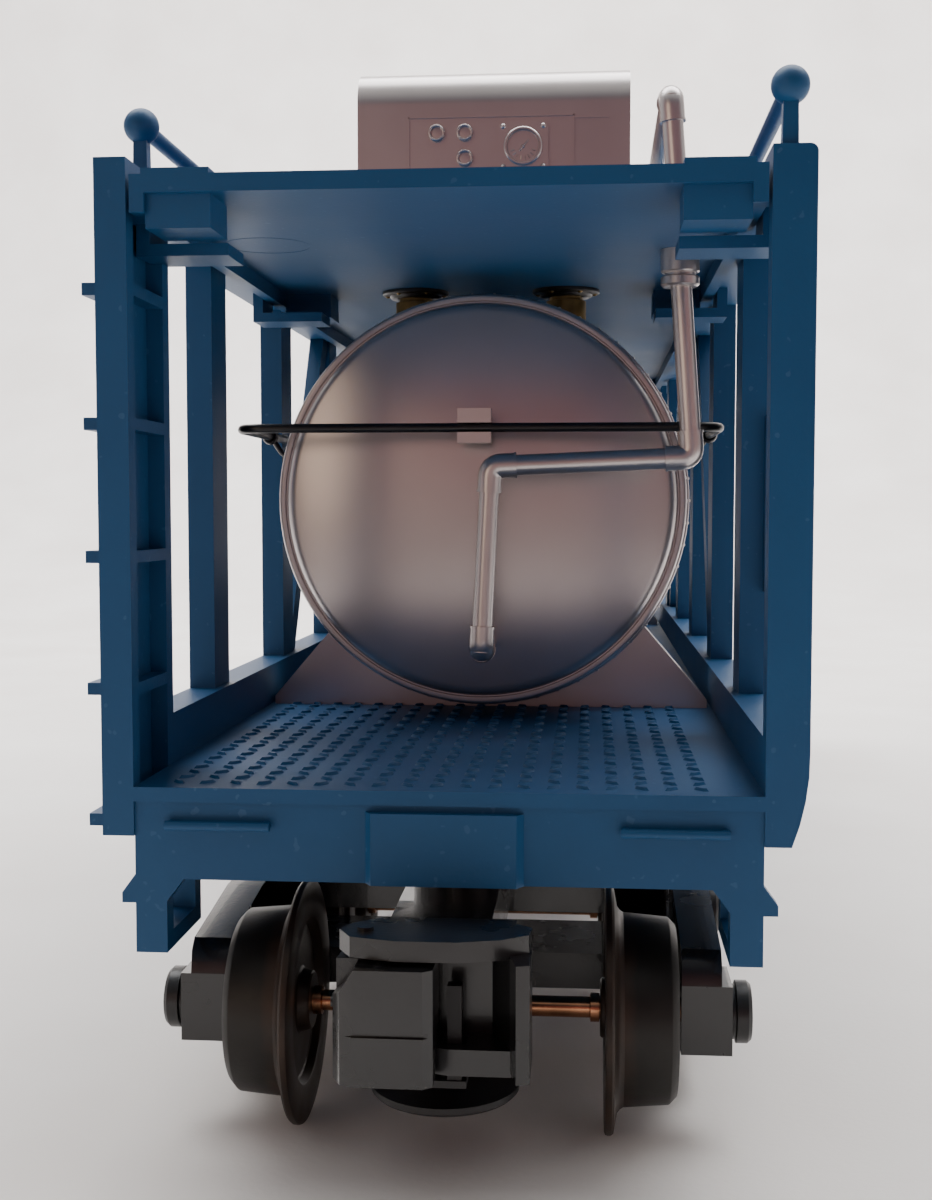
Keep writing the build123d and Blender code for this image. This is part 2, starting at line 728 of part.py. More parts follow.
def sill_screws():
    """Four screws up through the centre sill and ballast, with their heads flush below."""
    bottom = sill_bottom + sill_gap
    screws = []
    for y in (-50, -20):
        screw = rod_z(screw_head, bottom, bottom + 1.0, 0, y)
        screw = screw.fuse(rod_z(screw_shank, bottom, deck_top - deck_plate, 0, y))
        screws += both_ends(screw)
    return screws


# --- one truck, centred on the origin, with its outer end towards -Y ----------------------------------------
def pivot_screw():
    """The screw that the truck swivels on: fixed in the centre sill, head below."""
    head_top = bolster_top - pivot_sink
    head = rod_z(pivot_head, head_top - 1.4, head_top, 0, 0)
    return head.fuse(rod_z(pivot_radius, head_top - 0.2, deck_top - deck_plate - 4, 0, 0))


def bolster():
    """The cross beam, with the tongue that carries the coupler."""
    reach = frame_inner - 0.6
    beam = block(-reach, reach, -bolster_half, bolster_half, bolster_bottom, bolster_top)
    knees = mirror_x(block(knee_inner, reach, -bolster_half, bolster_half, bolster_knee, bolster_top))
    end_top = window_head - 0.15
    ends = mirror_x(block(bolster_drop, frame_outer - 0.2, -bolster_half, bolster_half,
                          spring_top, end_top))
    high = coupler_top - 0.4
    slope = [(-bolster_half + 0.5, 17.2), (-bolster_half + 0.5, bolster_top), (-13.0, bolster_top),
             (-20.0, high), (-33.0, high), (-33.0, 20.4), (-21.0, 20.4), (-14.0, 17.2)]
    tongue = slab_x(slope, -4.4, 4.4)
    pads = mirror_x(rod_z(2.2, bolster_top - 0.2, bolster_top + 1.6, 15.5, 0))
    whole = beam.fuse(*knees, *ends, tongue, *pads)
    head_top = bolster_top - pivot_sink
    shank_hole = rod_z(pivot_radius + running_gap, 0, 40, 0, 0)
    head_hole = rod_z(pivot_head + 0.3, 0, head_top + running_gap, 0, 0)
    return whole.cut(shank_hole, head_hole)


def side_frame():
    """The +X side frame: an arch between two journal boxes, with a window for bolster and springs."""
    level = axle_height
    crown = step_bottom - spring_travel - 0.1
    half = [(6.5, crown + 1.4), (journal - 1.0, crown), (journal + 1.8, crown - 0.4),
            (journal + 2.8, crown - 1.4), (journal + 3.2, level + 3.2), (journal + 3.2, level - 2.4),
            (journal + 1.8, level - 3.4), (journal - 2.6, level - 3.4), (journal - 3.4, level - 1.9),
            (journal - 5.6, level - 1.7), (8.6, level - 5.7), (6.5, level - 6.3)]
    outline = [(-y, z) for y, z in half] + [(y, z) for y, z in reversed(half)]
    frame = slab_x(outline, frame_inner, frame_outer)
    window = block(frame_inner - 1, frame_outer + 1, -bolster_half - 1.1, bolster_half + 1.1,
                   spring_seat, window_head)
    post = bolster_half + 3.0
    brow = journal - 5.0
    light = [(post, level - 1.9), (post, crown - 1.4), (brow, crown - 2.2), (brow, level + 0.6)]
    lights = [slab_x(light, frame_inner - 1, frame_outer + 1),
              slab_x([(-y, z) for y, z in light], frame_inner - 1, frame_outer + 1)]
    frame = frame.cut(window, *lights)
    boxes = [block(frame_inner, box_outer, y - box_half, y + box_half,
                   level - box_half, level + box_half + 0.1)
             for y in (-journal, journal)]
    frame = frame.fuse(*boxes)
    bores = [rod_x(axle_radius + running_gap, frame_inner - 1, box_outer + 1, y, axle_height)
             for y in (-journal, journal)]
    return frame.cut(*bores)


def spring_plank():
    """The plank that ties the two side frames together below the bolster, lower at its ends."""
    half = bolster_half + plank_lap
    end_top = spring_top - spring_travel - 0.3
    middle = block(-bolster_drop + 0.3, bolster_drop - 0.3, -half, half, plank_bottom, plank_top)
    return middle.fuse(block(-frame_inner, frame_inner, -half, half, plank_bottom - 1.4, end_top))


def springs():
    """Two sleeves in each side frame that stand for the coil springs."""
    coils = []
    x = (frame_inner + frame_outer) / 2
    for y in (-spring_spacing, spring_spacing):
        sleeve = rod_z(spring_radius, spring_seat, spring_top, x, y)
        coils += mirror_x(sleeve.cut(rod_z(spring_radius - spring_wall, 0, 30, x, y)))
    return coils


def axle(y):
    """One axle, long enough to reach through both journal boxes into the caps."""
    return rod_x(axle_radius, -cap_outer + cap_cover, cap_outer - cap_cover, y, axle_height)


def wheels(y):
    """Two flanged wheels on one axle."""
    inner = back_to_back / 2
    tread_start = inner + flange_width
    outer = inner + wheel_width
    outline = [
        (axle_radius, inner), (2.6, inner - 0.4), (3.0, inner + 0.7), (7.4, inner + 0.9), (8.0, inner),
        (flange_tip - 0.3, inner), (flange_tip, inner + 0.35), (flange_tip, inner + 0.7),
        (tread_radius + 0.25, tread_start), (tread_radius, tread_start + 0.3),
        (tread_radius - tread_taper, outer - 0.7), (tread_radius - tread_taper - 0.7, outer),
        (7.2, outer), (6.8, outer - 1.1), (3.0, outer - 1.1), (2.6, outer - 0.2), (axle_radius, outer - 0.2),
    ]
    plane = Plane(origin=(0, y, axle_height), x_dir=(0, 0, 1), z_dir=(0, -1, 0))
    face = plane * make_face(Polyline(*[(r, x) for r, x in outline], close=True))
    wheel = revolve(face, Axis((0, y, axle_height), (1, 0, 0)))
    return mirror_x(wheel)


def bearing_caps(y):
    """The caps on the axle's ends, outside the journal boxes."""
    start = box_outer + cap_gap
    cap = rod_x(cap_radius, start, cap_outer, y, axle_height)
    cap = chamfer(cap.edges().filter_by(GeomType.CIRCLE).sort_by(Axis.X)[-1], 0.4)
    return mirror_x(cap.cut(rod_x(axle_radius, 0, cap_outer - cap_cover, y, axle_height)))


def coupler_body():
    """The coupler's fixed head: hood, shelf, guard arm and the lugs of the knuckle's pin."""
    back = 33.0
    hood_plan = [(-4.4, -back), (-7.2, -35.0), (-8.0, -37.0), (-6.8, -39.2), (-3.0, -40.2), (2.0, -40.2),
                 (5.6, -39.2), (7.8, -37.6), (8.0, -35.4), (5.0, -back)]
    hood = slab_z(hood_plan, knuckle_top + 0.4, coupler_top)
    wall = block(-5.0, 6.6, -34.4, -back, coupler_bottom, coupler_top)
    guard = slab_z([(5.6, -33.6), (8.0, -35.2), (8.0, -41.0), (6.9, -41.3), (6.2, -38.0), (4.6, -34.4)],
                   coupler_bottom + 0.4, knuckle_top + 0.6)
    shelf = slab_z([(-3.3, -33.4), (5.2, -33.4), (7.0, -36.0), (6.4, -38.6), (1.2, -38.6), (-3.3, -37.0)],
                   coupler_bottom, coupler_bottom + 2.2)
    lug = slab_z([(-3.6, -33.4), (-7.4, -35.2), (-7.8, -37.2), (-5.2, -38.6), (-3.6, -38.2)],
                 coupler_bottom, coupler_bottom + 1.6)
    neck = block(-3.6, 3.6, -33.4, -21.0, 19.2, 20.4)
    hangers = mirror_x(block(2.9, 4.0, -flap_pin_reach - 1.6, -flap_pin_reach + 1.4, flap_height - 0.9, 20.4))
    head = hood.fuse(wall, guard, shelf, lug, neck, *hangers)
    pin_hole = rod_z(knuckle_pin, 0, 40, knuckle_pin_x, knuckle_pin_y)
    lock_slot = block(0.6, 2.6, -37.4, -35.4, 0, coupler_bottom + 3)
    flap_hole = rod_x(flap_pin, -10, 10, -flap_pin_reach, flap_height)
    return head.cut(pin_hole, lock_slot, flap_hole)


def knuckle():
    """The jaw that swings on the knuckle pin: a hooked block with a rounded outer corner."""
    low = coupler_bottom + 1.7
    shelf_top = coupler_bottom + 2.3
    outline = [(-8.0, -37.4), (-8.2, -39.4), (-7.4, -41.0), (-6.2, -coupler_reach), (-0.6, -coupler_reach),
               (0.2, -40.9), (0.2, -36.2), (-1.6, -36.2), (-1.6, -38.6), (-3.6, -38.4)]
    jaw = slab_z(outline, coupler_bottom - 0.1, knuckle_top)
    jaw = jaw.cut(block(-9, 1, -38.9, -30, 0, shelf_top))
    eye = rod_z(2.2, low, knuckle_top, knuckle_pin_x, knuckle_pin_y)
    jaw = jaw.fuse(eye)
    bevel = slab_y([(-9, knuckle_top - 3.2), (-9, knuckle_top + 1), (-5.6, knuckle_top + 1),
                    (-7.4, knuckle_top - 2.0)], -43, -38.2)
    groove = block(-9, 1, -coupler_reach - 1, -coupler_reach + 0.3, 16.4, 16.8)
    jaw = jaw.cut(bevel, groove)
    rivet = rod_x(0.45, -8.5, -7.5, -38.3, 18.3)
    return jaw.cut(rod_z(knuckle_pin + running_gap, 0, 40, knuckle_pin_x, knuckle_pin_y)).fuse(rivet)


def coupler_pins():
    """The knuckle's upright hinge pin and the release flap's cross pin, pressed into the head."""
    upright = rod_z(knuckle_pin, coupler_bottom - 0.3, coupler_top + 0.3, knuckle_pin_x, knuckle_pin_y)
    cross = rod_x(flap_pin, -4.4, 4.4, -flap_pin_reach, flap_height)
    return [upright, cross]


def release_flap():
    """The hinged steel flap below the coupler, with its lock bar in front."""
    plate = block(-2.6, 2.6, -37.2, -flap_pin_reach + 1.0, flap_height - 1.1, flap_height - 0.5)
    curl = rod_x(0.9, -2.6, 2.6, -flap_pin_reach, flap_height)
    lock = block(1.0, 2.2, -37.0, -35.8, flap_height - 0.8, 19.4)
    flap = plate.fuse(curl, lock)
    return flap.cut(rod_x(flap_pin + running_gap, -5, 5, -flap_pin_reach, flap_height))


def release_disc():
    """The round pull plate under the flap, on a short stem."""
    y = -truck_to_disc
    disc = rod_z(disc_radius, disc_bottom, disc_bottom + 0.8, 0, y)
    disc = chamfer(disc.edges().filter_by(GeomType.CIRCLE).sort_by(Axis.Z)[0], 0.3)
    return disc.fuse(rod_z(1.1, disc_bottom + 0.6, flap_height - 1.1, 0, y))


def truck_nodes():
    """Every piece of one truck by name, before the truck's letter is added."""
    return {
        "pivot_screw": [pivot_screw()],
        "bolster": [bolster()],
        "spring_plank": [spring_plank()],
        "side_frame_right": [side_frame()],
        "side_frame_left": [mirror(side_frame(), Plane.YZ)],
        "springs": springs(),
        "axle_outer": [axle(-journal)],
        "axle_inner": [axle(journal)],
        "wheels_outer": wheels(-journal),
        "wheels_inner": wheels(journal),
        "bearing_caps_outer": bearing_caps(-journal),
        "bearing_caps_inner": bearing_caps(journal),
        "coupler_body": [coupler_body()],
        "knuckle": [knuckle()],
        "coupler_pins": coupler_pins(),
        "release_flap": [release_flap()],
        "release_disc": [release_disc()],
    }


def body_nodes():
    """Every piece of the wagon's body by name."""
    return {
        "deck": [deck()],
        "side_wall_right": [side_wall()],
        "side_wall_left": [half_turn(side_wall())],
        "roof": [roof()],
        "roof_rail_right": [roof_rail()],
        "roof_rail_left": [half_turn(roof_rail())],
        "tank_barrel": [tank_barrel()],
        "tank_head_a": [tank_head()],
        "tank_head_b": [half_turn(tank_head())],
        "tank_bands": tank_bands(),
        "tank_saddle_a": [tank_saddle()],
        "tank_saddle_b": [half_turn(tank_saddle())],
        "tank_top_flanges": top_flanges(),
        "tank_top_stubs": top_stubs(),
        "tank_handrail": [tank_handrail()],
        "handrail_bosses": handrail_bosses(),
        "handrail_eyelets": handrail_eyelets(),
        "feed_pipe": [feed_pipe()],
        "pipe_collar": [pipe_collar()],
        "vent_pipe": [vent_pipe()],
        "cabinet": [cabinet()],
        "control_panel": [control_panel()],
        "centre_sill": [centre_sill()],
        "ballast": [ballast()],
        "saddle_screws": saddle_screws(),
        "sill_screws": sill_screws(),
    }


def save(name, solids):
    """One STEP file per node: a single solid, or a group of separate ones."""
    shape = solids[0] if len(solids) == 1 else Compound(children=solids)
    export_step(shape, f"parts/{name}.step")


def main():
    os.makedirs("parts", exist_ok=True)
    for name, solids in body_nodes().items():
        save(name, solids)
    outward = Pos(0, -truck_centre, 0)
    for name, solids in truck_nodes().items():
        near = [outward * solid for solid in solids]
        save(name + "_a", near)
        save(name + "_b", [half_turn(solid) for solid in near])


main()
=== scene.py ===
"""An O gauge model tank wagon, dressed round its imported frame.

Run as a script, it makes every visible piece of the wagon but the frame's own small hidden ones, its
finishes, and a small studio. Shapes are worked out in millimetres, and the meshes are in metres.
"""

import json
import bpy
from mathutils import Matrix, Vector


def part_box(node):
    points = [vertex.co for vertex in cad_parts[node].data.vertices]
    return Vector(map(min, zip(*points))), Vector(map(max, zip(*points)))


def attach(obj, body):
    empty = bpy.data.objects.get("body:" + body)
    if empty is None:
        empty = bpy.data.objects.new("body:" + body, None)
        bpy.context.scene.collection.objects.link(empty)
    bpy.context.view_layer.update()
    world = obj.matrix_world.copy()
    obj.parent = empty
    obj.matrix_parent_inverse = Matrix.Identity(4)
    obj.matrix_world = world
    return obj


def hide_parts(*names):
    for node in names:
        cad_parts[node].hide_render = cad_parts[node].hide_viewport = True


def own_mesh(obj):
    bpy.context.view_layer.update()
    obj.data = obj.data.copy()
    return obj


bl_info = {
    "name": "Model tank wagon",
    "version": (1, 0, 0),
    "blender": (4, 5, 0),
    "location": "View3D > Sidebar > Wagon",
    "description": "Makes an O gauge tank wagon with a framed body, a silver tank and sprung trucks",
    "category": "Add Mesh",
}

import bmesh
import bpy
import numpy as np
from bpy.props import FloatProperty, FloatVectorProperty, PointerProperty
from mathutils import Vector

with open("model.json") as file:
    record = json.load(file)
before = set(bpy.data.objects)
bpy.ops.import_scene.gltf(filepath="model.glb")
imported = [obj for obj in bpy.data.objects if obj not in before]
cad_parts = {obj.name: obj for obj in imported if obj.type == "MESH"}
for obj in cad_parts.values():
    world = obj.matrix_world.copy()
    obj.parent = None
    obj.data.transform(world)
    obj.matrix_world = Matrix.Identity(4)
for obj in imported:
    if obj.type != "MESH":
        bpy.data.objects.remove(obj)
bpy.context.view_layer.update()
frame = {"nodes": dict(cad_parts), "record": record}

MM = 0.001
CAR = "car"


def limits(node):
    """Lowest and highest corner of a frame node at rest, in millimetres."""
    low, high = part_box(node)
    return np.array(low) / MM, np.array(high) / MM


# --- places read from the frame ----------------------------------------------------------------------
WALL_HIGH = limits("side_wall_right")[1]
RAIL_LOW, RAIL_HIGH = limits("roof_rail_right")
BARREL_LOW, BARREL_HIGH = limits("tank_barrel")
HEAD_LOW, HEAD_HIGH = limits("tank_head_a")
BANDS_LOW, BANDS_HIGH = limits("tank_bands")
FLANGES_LOW, FLANGES_HIGH = limits("tank_top_flanges")
STUBS_LOW = limits("tank_top_stubs")[0]
WIRE_LOW, WIRE_HIGH = limits("tank_handrail")
COLLAR_LOW, COLLAR_HIGH = limits("pipe_collar")
CABINET_LOW, CABINET_HIGH = limits("cabinet")
PANEL_LOW, PANEL_HIGH = limits("control_panel")
PIVOT_LOW, PIVOT_HIGH = limits("pivot_screw_a")
AXLE_HIGH = limits("axle_outer_a")[1]
WHEEL_LOW, WHEEL_HIGH = limits("wheels_outer_a")
CAPS_HIGH = limits("bearing_caps_outer_a")[1]
SPRINGS_LOW, SPRINGS_HIGH = limits("springs_a")

HALF_LENGTH = WALL_HIGH[1]
ROOF_BOTTOM = FLANGES_HIGH[2]
TANK_HEIGHT = (BARREL_LOW[2] + BARREL_HIGH[2]) / 2
TANK_RADIUS = (BARREL_HIGH[2] - BARREL_LOW[2]) / 2
RIM_RADIUS = (HEAD_HIGH[2] - HEAD_LOW[2]) / 2
BAND_RADIUS = (BANDS_HIGH[2] - BANDS_LOW[2]) / 2
TANK_AXIS = (0.0, 0.0, TANK_HEIGHT)
WIRE_HEIGHT = (WIRE_LOW[2] + WIRE_HIGH[2]) / 2
WIRE_RADIUS = (WIRE_HIGH[2] - WIRE_LOW[2]) / 2
TRUCK_Y = (PIVOT_LOW[1] + PIVOT_HIGH[1]) / 2
AXLE_HEIGHT = (WHEEL_LOW[2] + WHEEL_HIGH[2]) / 2

# --- places that no node's box gives, in millimetres ---------------------------------------------------
DECK_TOP = 34.2
POST_PITCH = 37.0
POSTS = (np.arange(6) - 2.5) * POST_PITCH
RIM_PLANE = -84.5
RIM_RIVETS = -83.3
SADDLE_Y = 67.5
BOSS_Y = 74.0
AXLE_OFFSET = 18.0
WHEEL_INNER = 14.2
HOOP_HALF = 1.6
SHELL_WALL = 1.2
PIPE_RADIUS = 1.12


# --- colours and sizes ---------------------------------------------------------------------------------
def linear(code):
    """An sRGB hex colour as linear red, green, blue and alpha."""
    parts = np.array([int(code[i:i + 2], 16) for i in (1, 3, 5)]) / 255
    rgb = np.where(parts <= 0.04045, parts / 12.92, ((parts + 0.055) / 1.055) ** 2.4)
    return (*[float(value) for value in rgb], 1.0)


def colour(name, code):
    """A colour setting with its default."""
    return FloatVectorProperty(name=name, description=name + " colour", default=linear(code), size=4,
                               min=0, max=1, subtype="COLOR")


def size(name, millimetres, note):
    """A length setting, given in millimetres and held in metres."""
    return FloatProperty(name=name, description=note, default=millimetres * MM, min=1e-6, precision=5,
                         subtype="DISTANCE", unit="LENGTH")


# --- settings ------------------------------------------------------------------------------------------
class WagonSizes(bpy.types.PropertyGroup):
    """Small sizes that give the mouldings their finish."""
    edge: size("Moulded edge", 0.22, "Radius along the plastic frame's edges")
    cast_edge: size("Cast edge", 0.3, "Radius along the die-cast pieces' edges")
    tread_pitch: size("Tread pitch", 2.6, "Distance between the raised bars of the deck")
    tread_bar: size("Tread bar", 1.95, "Length of one raised bar")
    rivet: size("Rivet", 0.2, "Radius of a rivet head on the tank")
    rivet_pitch: size("Rivet pitch", 2.6, "Distance between rivets")
    spring_wire: size("Spring wire", 0.36, "Radius of the truck springs' wire")


class WagonColours(bpy.types.PropertyGroup):
    """Colours of the wagon's finishes."""
    blue: colour("Frame blue", "#0C4772")
    blue_light: colour("Frame blue, scuffed", "#15527F")
    silver: colour("Silver paint", "#C4BEBD")
    silver_dark: colour("Silver paint, thin", "#B2ACAB")
    black: colour("Black enamel", "#0C0C0E")
    coupler: colour("Coupler grey", "#0B0B0D")
    wheel: colour("Wheel", "#16130F")
    worn: colour("Worn tread", "#402C1E")
    axle: colour("Axle plating", "#C08A68")
    brass: colour("Brass", "#8A744B")
    steel: colour("Steel", "#77777A")
    backdrop: colour("Backdrop", "#EFECE9")


# --- shapes: a shape is its points and a list of face tables --------------------------------------------
def join(*shapes):
    """Several shapes as one: the points in a row, and each face table moved along by the points before it."""
    points, faces, count = [], [], 0
    for own_points, own_faces in shapes:
        points.append(own_points)
        faces += [table + count for table in own_faces]
        count += len(own_points)
    return np.vstack(points), faces


def moved(shape, x=0.0, y=0.0, z=0.0):
    """The shape shifted."""
    return shape[0] + np.array([x, y, z]), shape[1]


def half_turned(shape):
    """The shape turned half round about Z: X and Y change sign."""
    return shape[0] * np.array([-1.0, -1.0, 1.0]), shape[1]


def mirrored(shape):
    """The shape and its image across the wagon's middle plane, where X changes sign."""
    return join(shape, (shape[0] * np.array([-1.0, 1.0, 1.0]), shape[1]))


def both_ends(shape):
    """The shape and its half-turned copy."""
    return join(shape, half_turned(shape))


def repeated(shape, offsets):
    """Copies of the shape, one at each offset: every point plus every offset."""
    points, faces = shape
    offsets = np.asarray(offsets, float)
    copies = (offsets[:, None, :] + points[None, :, :]).reshape(-1, 3)
    steps = np.arange(len(offsets))[:, None, None] * len(points)
    return copies, [(table[None] + steps).reshape(-1, table.shape[1]) for table in faces]


def prism(outline, low, high, axis):
    """A closed outline carried straight along an axis, given in the two other axes in X, Y, Z order."""
    outline = np.asarray(outline, float)
    count = len(outline)
    along = "xyz".index(axis)
    points = np.zeros((2, count, 3))
    points[:, :, [index for index in range(3) if index != along]] = outline
    points[0, :, along] = low
    points[1, :, along] = high
    ring = np.arange(count)
    after = (ring + 1) % count
    sides = np.stack([ring, after, after + count, ring + count], 1)
    return points.reshape(-1, 3), [sides, ring[None, :], ring[None, ::-1] + count]


def between(low, high):
    """The solid between two outlines of as many points each, the lower one given first."""
    count = len(low)
    ring = np.arange(count)
    after = (ring + 1) % count
    sides = np.stack([ring, after, after + count, ring + count], 1)
    return np.vstack([low, high]), [sides, ring[None, ::-1], ring[None, :] + count]


def block(x0, x1, y0, y1, z0, z1):
    """A box between two corners."""
    return prism([(x0, y0), (x1, y0), (x1, y1), (x0, y1)], z0, z1, "z")


def grid_quads(rows, columns, ring_rows=False):
    """Quads over a grid of points whose columns close into rings, and whose rows may close too."""
    row = np.arange(rows if ring_rows else rows - 1)[:, None]
    column = np.arange(columns)[None, :]
    after_row, after_column = (row + 1) % rows, (column + 1) % columns
    corners = [row * columns + column, row * columns + after_column,
               after_row * columns + after_column, after_row * columns + column]
    return np.stack(np.broadcast_arrays(*corners), -1).reshape(-1, 4)


def turned(profile, axis, centre=(0.0, 0.0, 0.0), sides=96, closed=False):
    """A surface of revolution: each (radius, distance) of the profile becomes a circle of that radius
    about the axis at that distance. A radius of 0 at an end is a pole, and a closed profile is a ring."""
    profile = np.asarray(profile, float)
    along = "xyz".index(axis)
    across = [index for index in range(3) if index != along]
    start_pole = not closed and profile[0, 0] == 0
    end_pole = not closed and profile[-1, 0] == 0
    rows = profile[int(start_pole):len(profile) - int(end_pole)]
    angle = np.linspace(0, 2 * np.pi, sides, endpoint=False)
    points = np.zeros((len(rows), sides, 3))
    points[:, :, across[0]] = rows[:, :1] * np.cos(angle)
    points[:, :, across[1]] = rows[:, :1] * np.sin(angle)
    points[:, :, along] = rows[:, 1:]
    points = points.reshape(-1, 3)
    faces = [grid_quads(len(rows), sides, closed)]
    ring = np.arange(sides)
    after = (ring + 1) % sides
    for present, distance, first in ((start_pole, profile[0, 1], 0),
                                     (end_pole, profile[-1, 1], (len(rows) - 1) * sides)):
        if present:
            pole = np.zeros((1, 3))
            pole[0, along] = distance
            tip = np.full(sides, len(points))
            points = np.vstack([points, pole])
            faces.append(np.stack([ring + first, after + first, tip], 1))
    return points + np.array(centre), faces


def rod(radius, low, high, axis, centre, edge=0.12, sides=32):
    """A round bar with rounded ends: the end arcs go from the flat face to the side in quarter circles."""
    turn = np.linspace(0, np.pi / 2, 4)
    edge = min(edge, radius * 0.5, (high - low) * 0.45)
    first = np.stack([radius - edge + edge * np.sin(turn), low + edge - edge * np.cos(turn)], 1)
    last = np.stack([first[::-1, 0], high + low - first[::-1, 1]], 1)
    profile = np.vstack([[(0.0, low)], first, last, [(0.0, high)]])
    return turned(profile, axis, centre, sides)


def ball(radius, centre, sides=32):
    """A sphere: radius times the sine, and the cosine, of an angle from pole to pole."""
    turn = np.linspace(0, np.pi, sides // 2 + 1)
    profile = np.stack([radius * np.sin(turn), -radius * np.cos(turn)], 1)
    profile[[0, -1], 0] = 0
    return turned(profile, "z", centre, sides)


def dome(radius, height, axis, centre, outward, sides=10):
    """A rivet head: a low cap whose height falls with the square of the distance from its middle."""
    share = np.array([0.0, 0.5, 0.85, 1.0])
    rise = outward * height * (1 - share ** 2)
    profile = np.stack([radius * share, rise], 1)
    profile = np.vstack([profile, [(radius, -outward * 0.05), (0.0, -outward * 0.05)]])
    return turned(profile, axis, centre, sides)


def rounded(corners, radius, steps=8):
    """A path whose corners are eased: near each corner a point is (1-s)^2 of the entry, 2s(1-s) of the
    corner and s^2 of the exit, with entry and exit the radius away along each run."""
    corners = np.asarray(corners, float)
    share = np.linspace(0, 1, steps)[:, None]
    path = [corners[:1]]
    for before, corner, after in zip(corners, corners[1:], corners[2:]):
        entry = corner + (before - corner) * min(radius / np.linalg.norm(before - corner), 0.45)
        leave = corner + (after - corner) * min(radius / np.linalg.norm(after - corner), 0.45)
        path.append((1 - share) ** 2 * entry + 2 * share * (1 - share) * corner + share ** 2 * leave)
    path.append(corners[-1:])
    return np.vstack(path)


def swept(path, radius, sides=20, closed=False):
    """A tube along a path: round each path point a circle in the plane square to the path there.
    The radius may be one number or one for each point. Open ends are closed flat."""
    path = np.asarray(path, float)
    if closed:
        tangent = np.roll(path, -1, 0) - np.roll(path, 1, 0)
    else:
        tangent = np.gradient(path, axis=0)
    tangent /= np.linalg.norm(tangent, axis=1)[:, None]
    side = np.cross(tangent[0], [0.31, 0.57, 0.76])
    sides_at = []
    for direction in tangent:
        side = side - direction * np.dot(side, direction)
        side = side / np.linalg.norm(side)
        sides_at.append(side)
    side = np.array(sides_at)
    up = np.cross(tangent, side)
    angle = np.linspace(0, 2 * np.pi, sides, endpoint=False)
    radius = np.broadcast_to(np.asarray(radius, float), len(path))[:, None, None]
    circle = np.cos(angle)[None, :, None] * side[:, None, :] + np.sin(angle)[None, :, None] * up[:, None, :]
    points = (path[:, None, :] + radius * circle).reshape(-1, 3)
    faces = [grid_quads(len(path), sides, closed)]
    if not closed:
        ring = np.arange(sides)
        faces += [ring[None, ::-1], ring[None, :] + (len(path) - 1) * sides]
    return points, faces


def arc(centre, radius, start, end, steps=8):
    """Points on a circle between two angles in degrees."""
    angle = np.radians(np.linspace(start, end, steps))
    return np.stack([centre[0] + radius * np.cos(angle), centre[1] + radius * np.sin(angle)], 1)


def rounded_rectangle(half_x, half_y, corner, steps):
    """An outline of four quarter circles, one round each corner's centre, in order round the middle."""
    return np.vstack([arc((sx * (half_x - corner), sy * (half_y - corner)), corner, start, start + 90, steps)
                      for sx, sy, start in ((1, 1, 0), (-1, 1, 90), (-1, -1, 180), (1, -1, 270))])


def make(name, shape, body, slot, stands_for=(), bevel=0.0, sharp=40.0):
    """One finished piece: the shape's mesh, smooth between sharp edges, with an eased edge if asked."""
    points, faces = shape
    mesh = bpy.data.meshes.new(name)
    rows = [face for table in faces for face in table.tolist()]
    mesh.from_pydata((points * MM).tolist(), [], rows)
    outward = bmesh.new()
    outward.from_mesh(mesh)
    bmesh.ops.recalc_face_normals(outward, faces=outward.faces)
    outward.to_mesh(mesh)
    outward.free()
    mesh.polygons.foreach_set("use_smooth", np.ones(len(mesh.polygons), bool))
    piece = bpy.data.objects.new(name, mesh)
    bpy.context.scene.collection.objects.link(piece)
    if bevel:
        ease = piece.modifiers.new("eased edges", "BEVEL")
        ease.width = bevel * MM
        ease.segments = 2
        ease.limit_method = "ANGLE"
        ease.angle_limit = np.radians(35)
        ease.use_clamp_overlap = False
        ease.harden_normals = True
    else:
        mesh.set_sharp_from_angle(angle=np.radians(sharp))
    mesh.materials.append(bpy.data.materials[slot])
    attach(piece, body)
    if stands_for:
        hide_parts(*stands_for)
    return piece


# --- finishes --------------------------------------------------------------------------------------------
def add(material, kind, **given):
    """One node with its settings and links: in_Name, or in_ and a number, is an input, and the rest are
    the node's own properties. An input is linked to a given socket, or set to a given value."""
    tree = material.node_tree
    node = tree.nodes.new(kind)
    for key, value in given.items():
        if key.startswith("in_"):
            label = key[3:].replace("_", " ")
            socket = node.inputs[int(label)] if label.isdigit() else node.inputs[label]
            if isinstance(value, bpy.types.NodeSocket):
                tree.links.new(value, socket)
            else:
                socket.default_value = value
        else:
            setattr(node, key, value)
    return node


def finish(name):
    """A node material of that name, emptied, and the object's own coordinates in it. The frame already
    has a plain material for each slot, so that one is taken where there is one."""
    material = bpy.data.materials.get(name) or bpy.data.materials.new(name)
    material.use_nodes = True
    material.node_tree.nodes.clear()
    place = add(material, "ShaderNodeTexCoord").outputs["Object"]
    return material, place


def surface(material, shader):
    """Links the shader to the material's output."""
    add(material, "ShaderNodeOutputMaterial", in_Surface=shader.outputs["BSDF"])


def ramp(material, value, stops):
    """A colour ramp with the given (place, colour) stops."""
    node = add(material, "ShaderNodeValToRGB", in_Fac=value)
    elements = node.color_ramp.elements
    while len(elements) < len(stops):
        elements.new(0.5)
    for element, (place, shade) in zip(elements, stops):
        element.position = place
        element.color = shade
    return node.outputs["Color"]


def noise(material, place, grain, detail=3.0, roughness=0.5):
    """Noise with a grain of the given size in millimetres."""
    return add(material, "ShaderNodeTexNoise", in_Vector=place, in_Scale=1 / (grain * MM), in_Detail=detail,
               in_Roughness=roughness).outputs["Fac"]


def bump(material, height, depth):
    """Relief from a height pattern, with its depth in millimetres."""
    return add(material, "ShaderNodeBump", in_Height=height, in_Distance=depth * MM,
               in_Strength=1.0).outputs["Normal"]


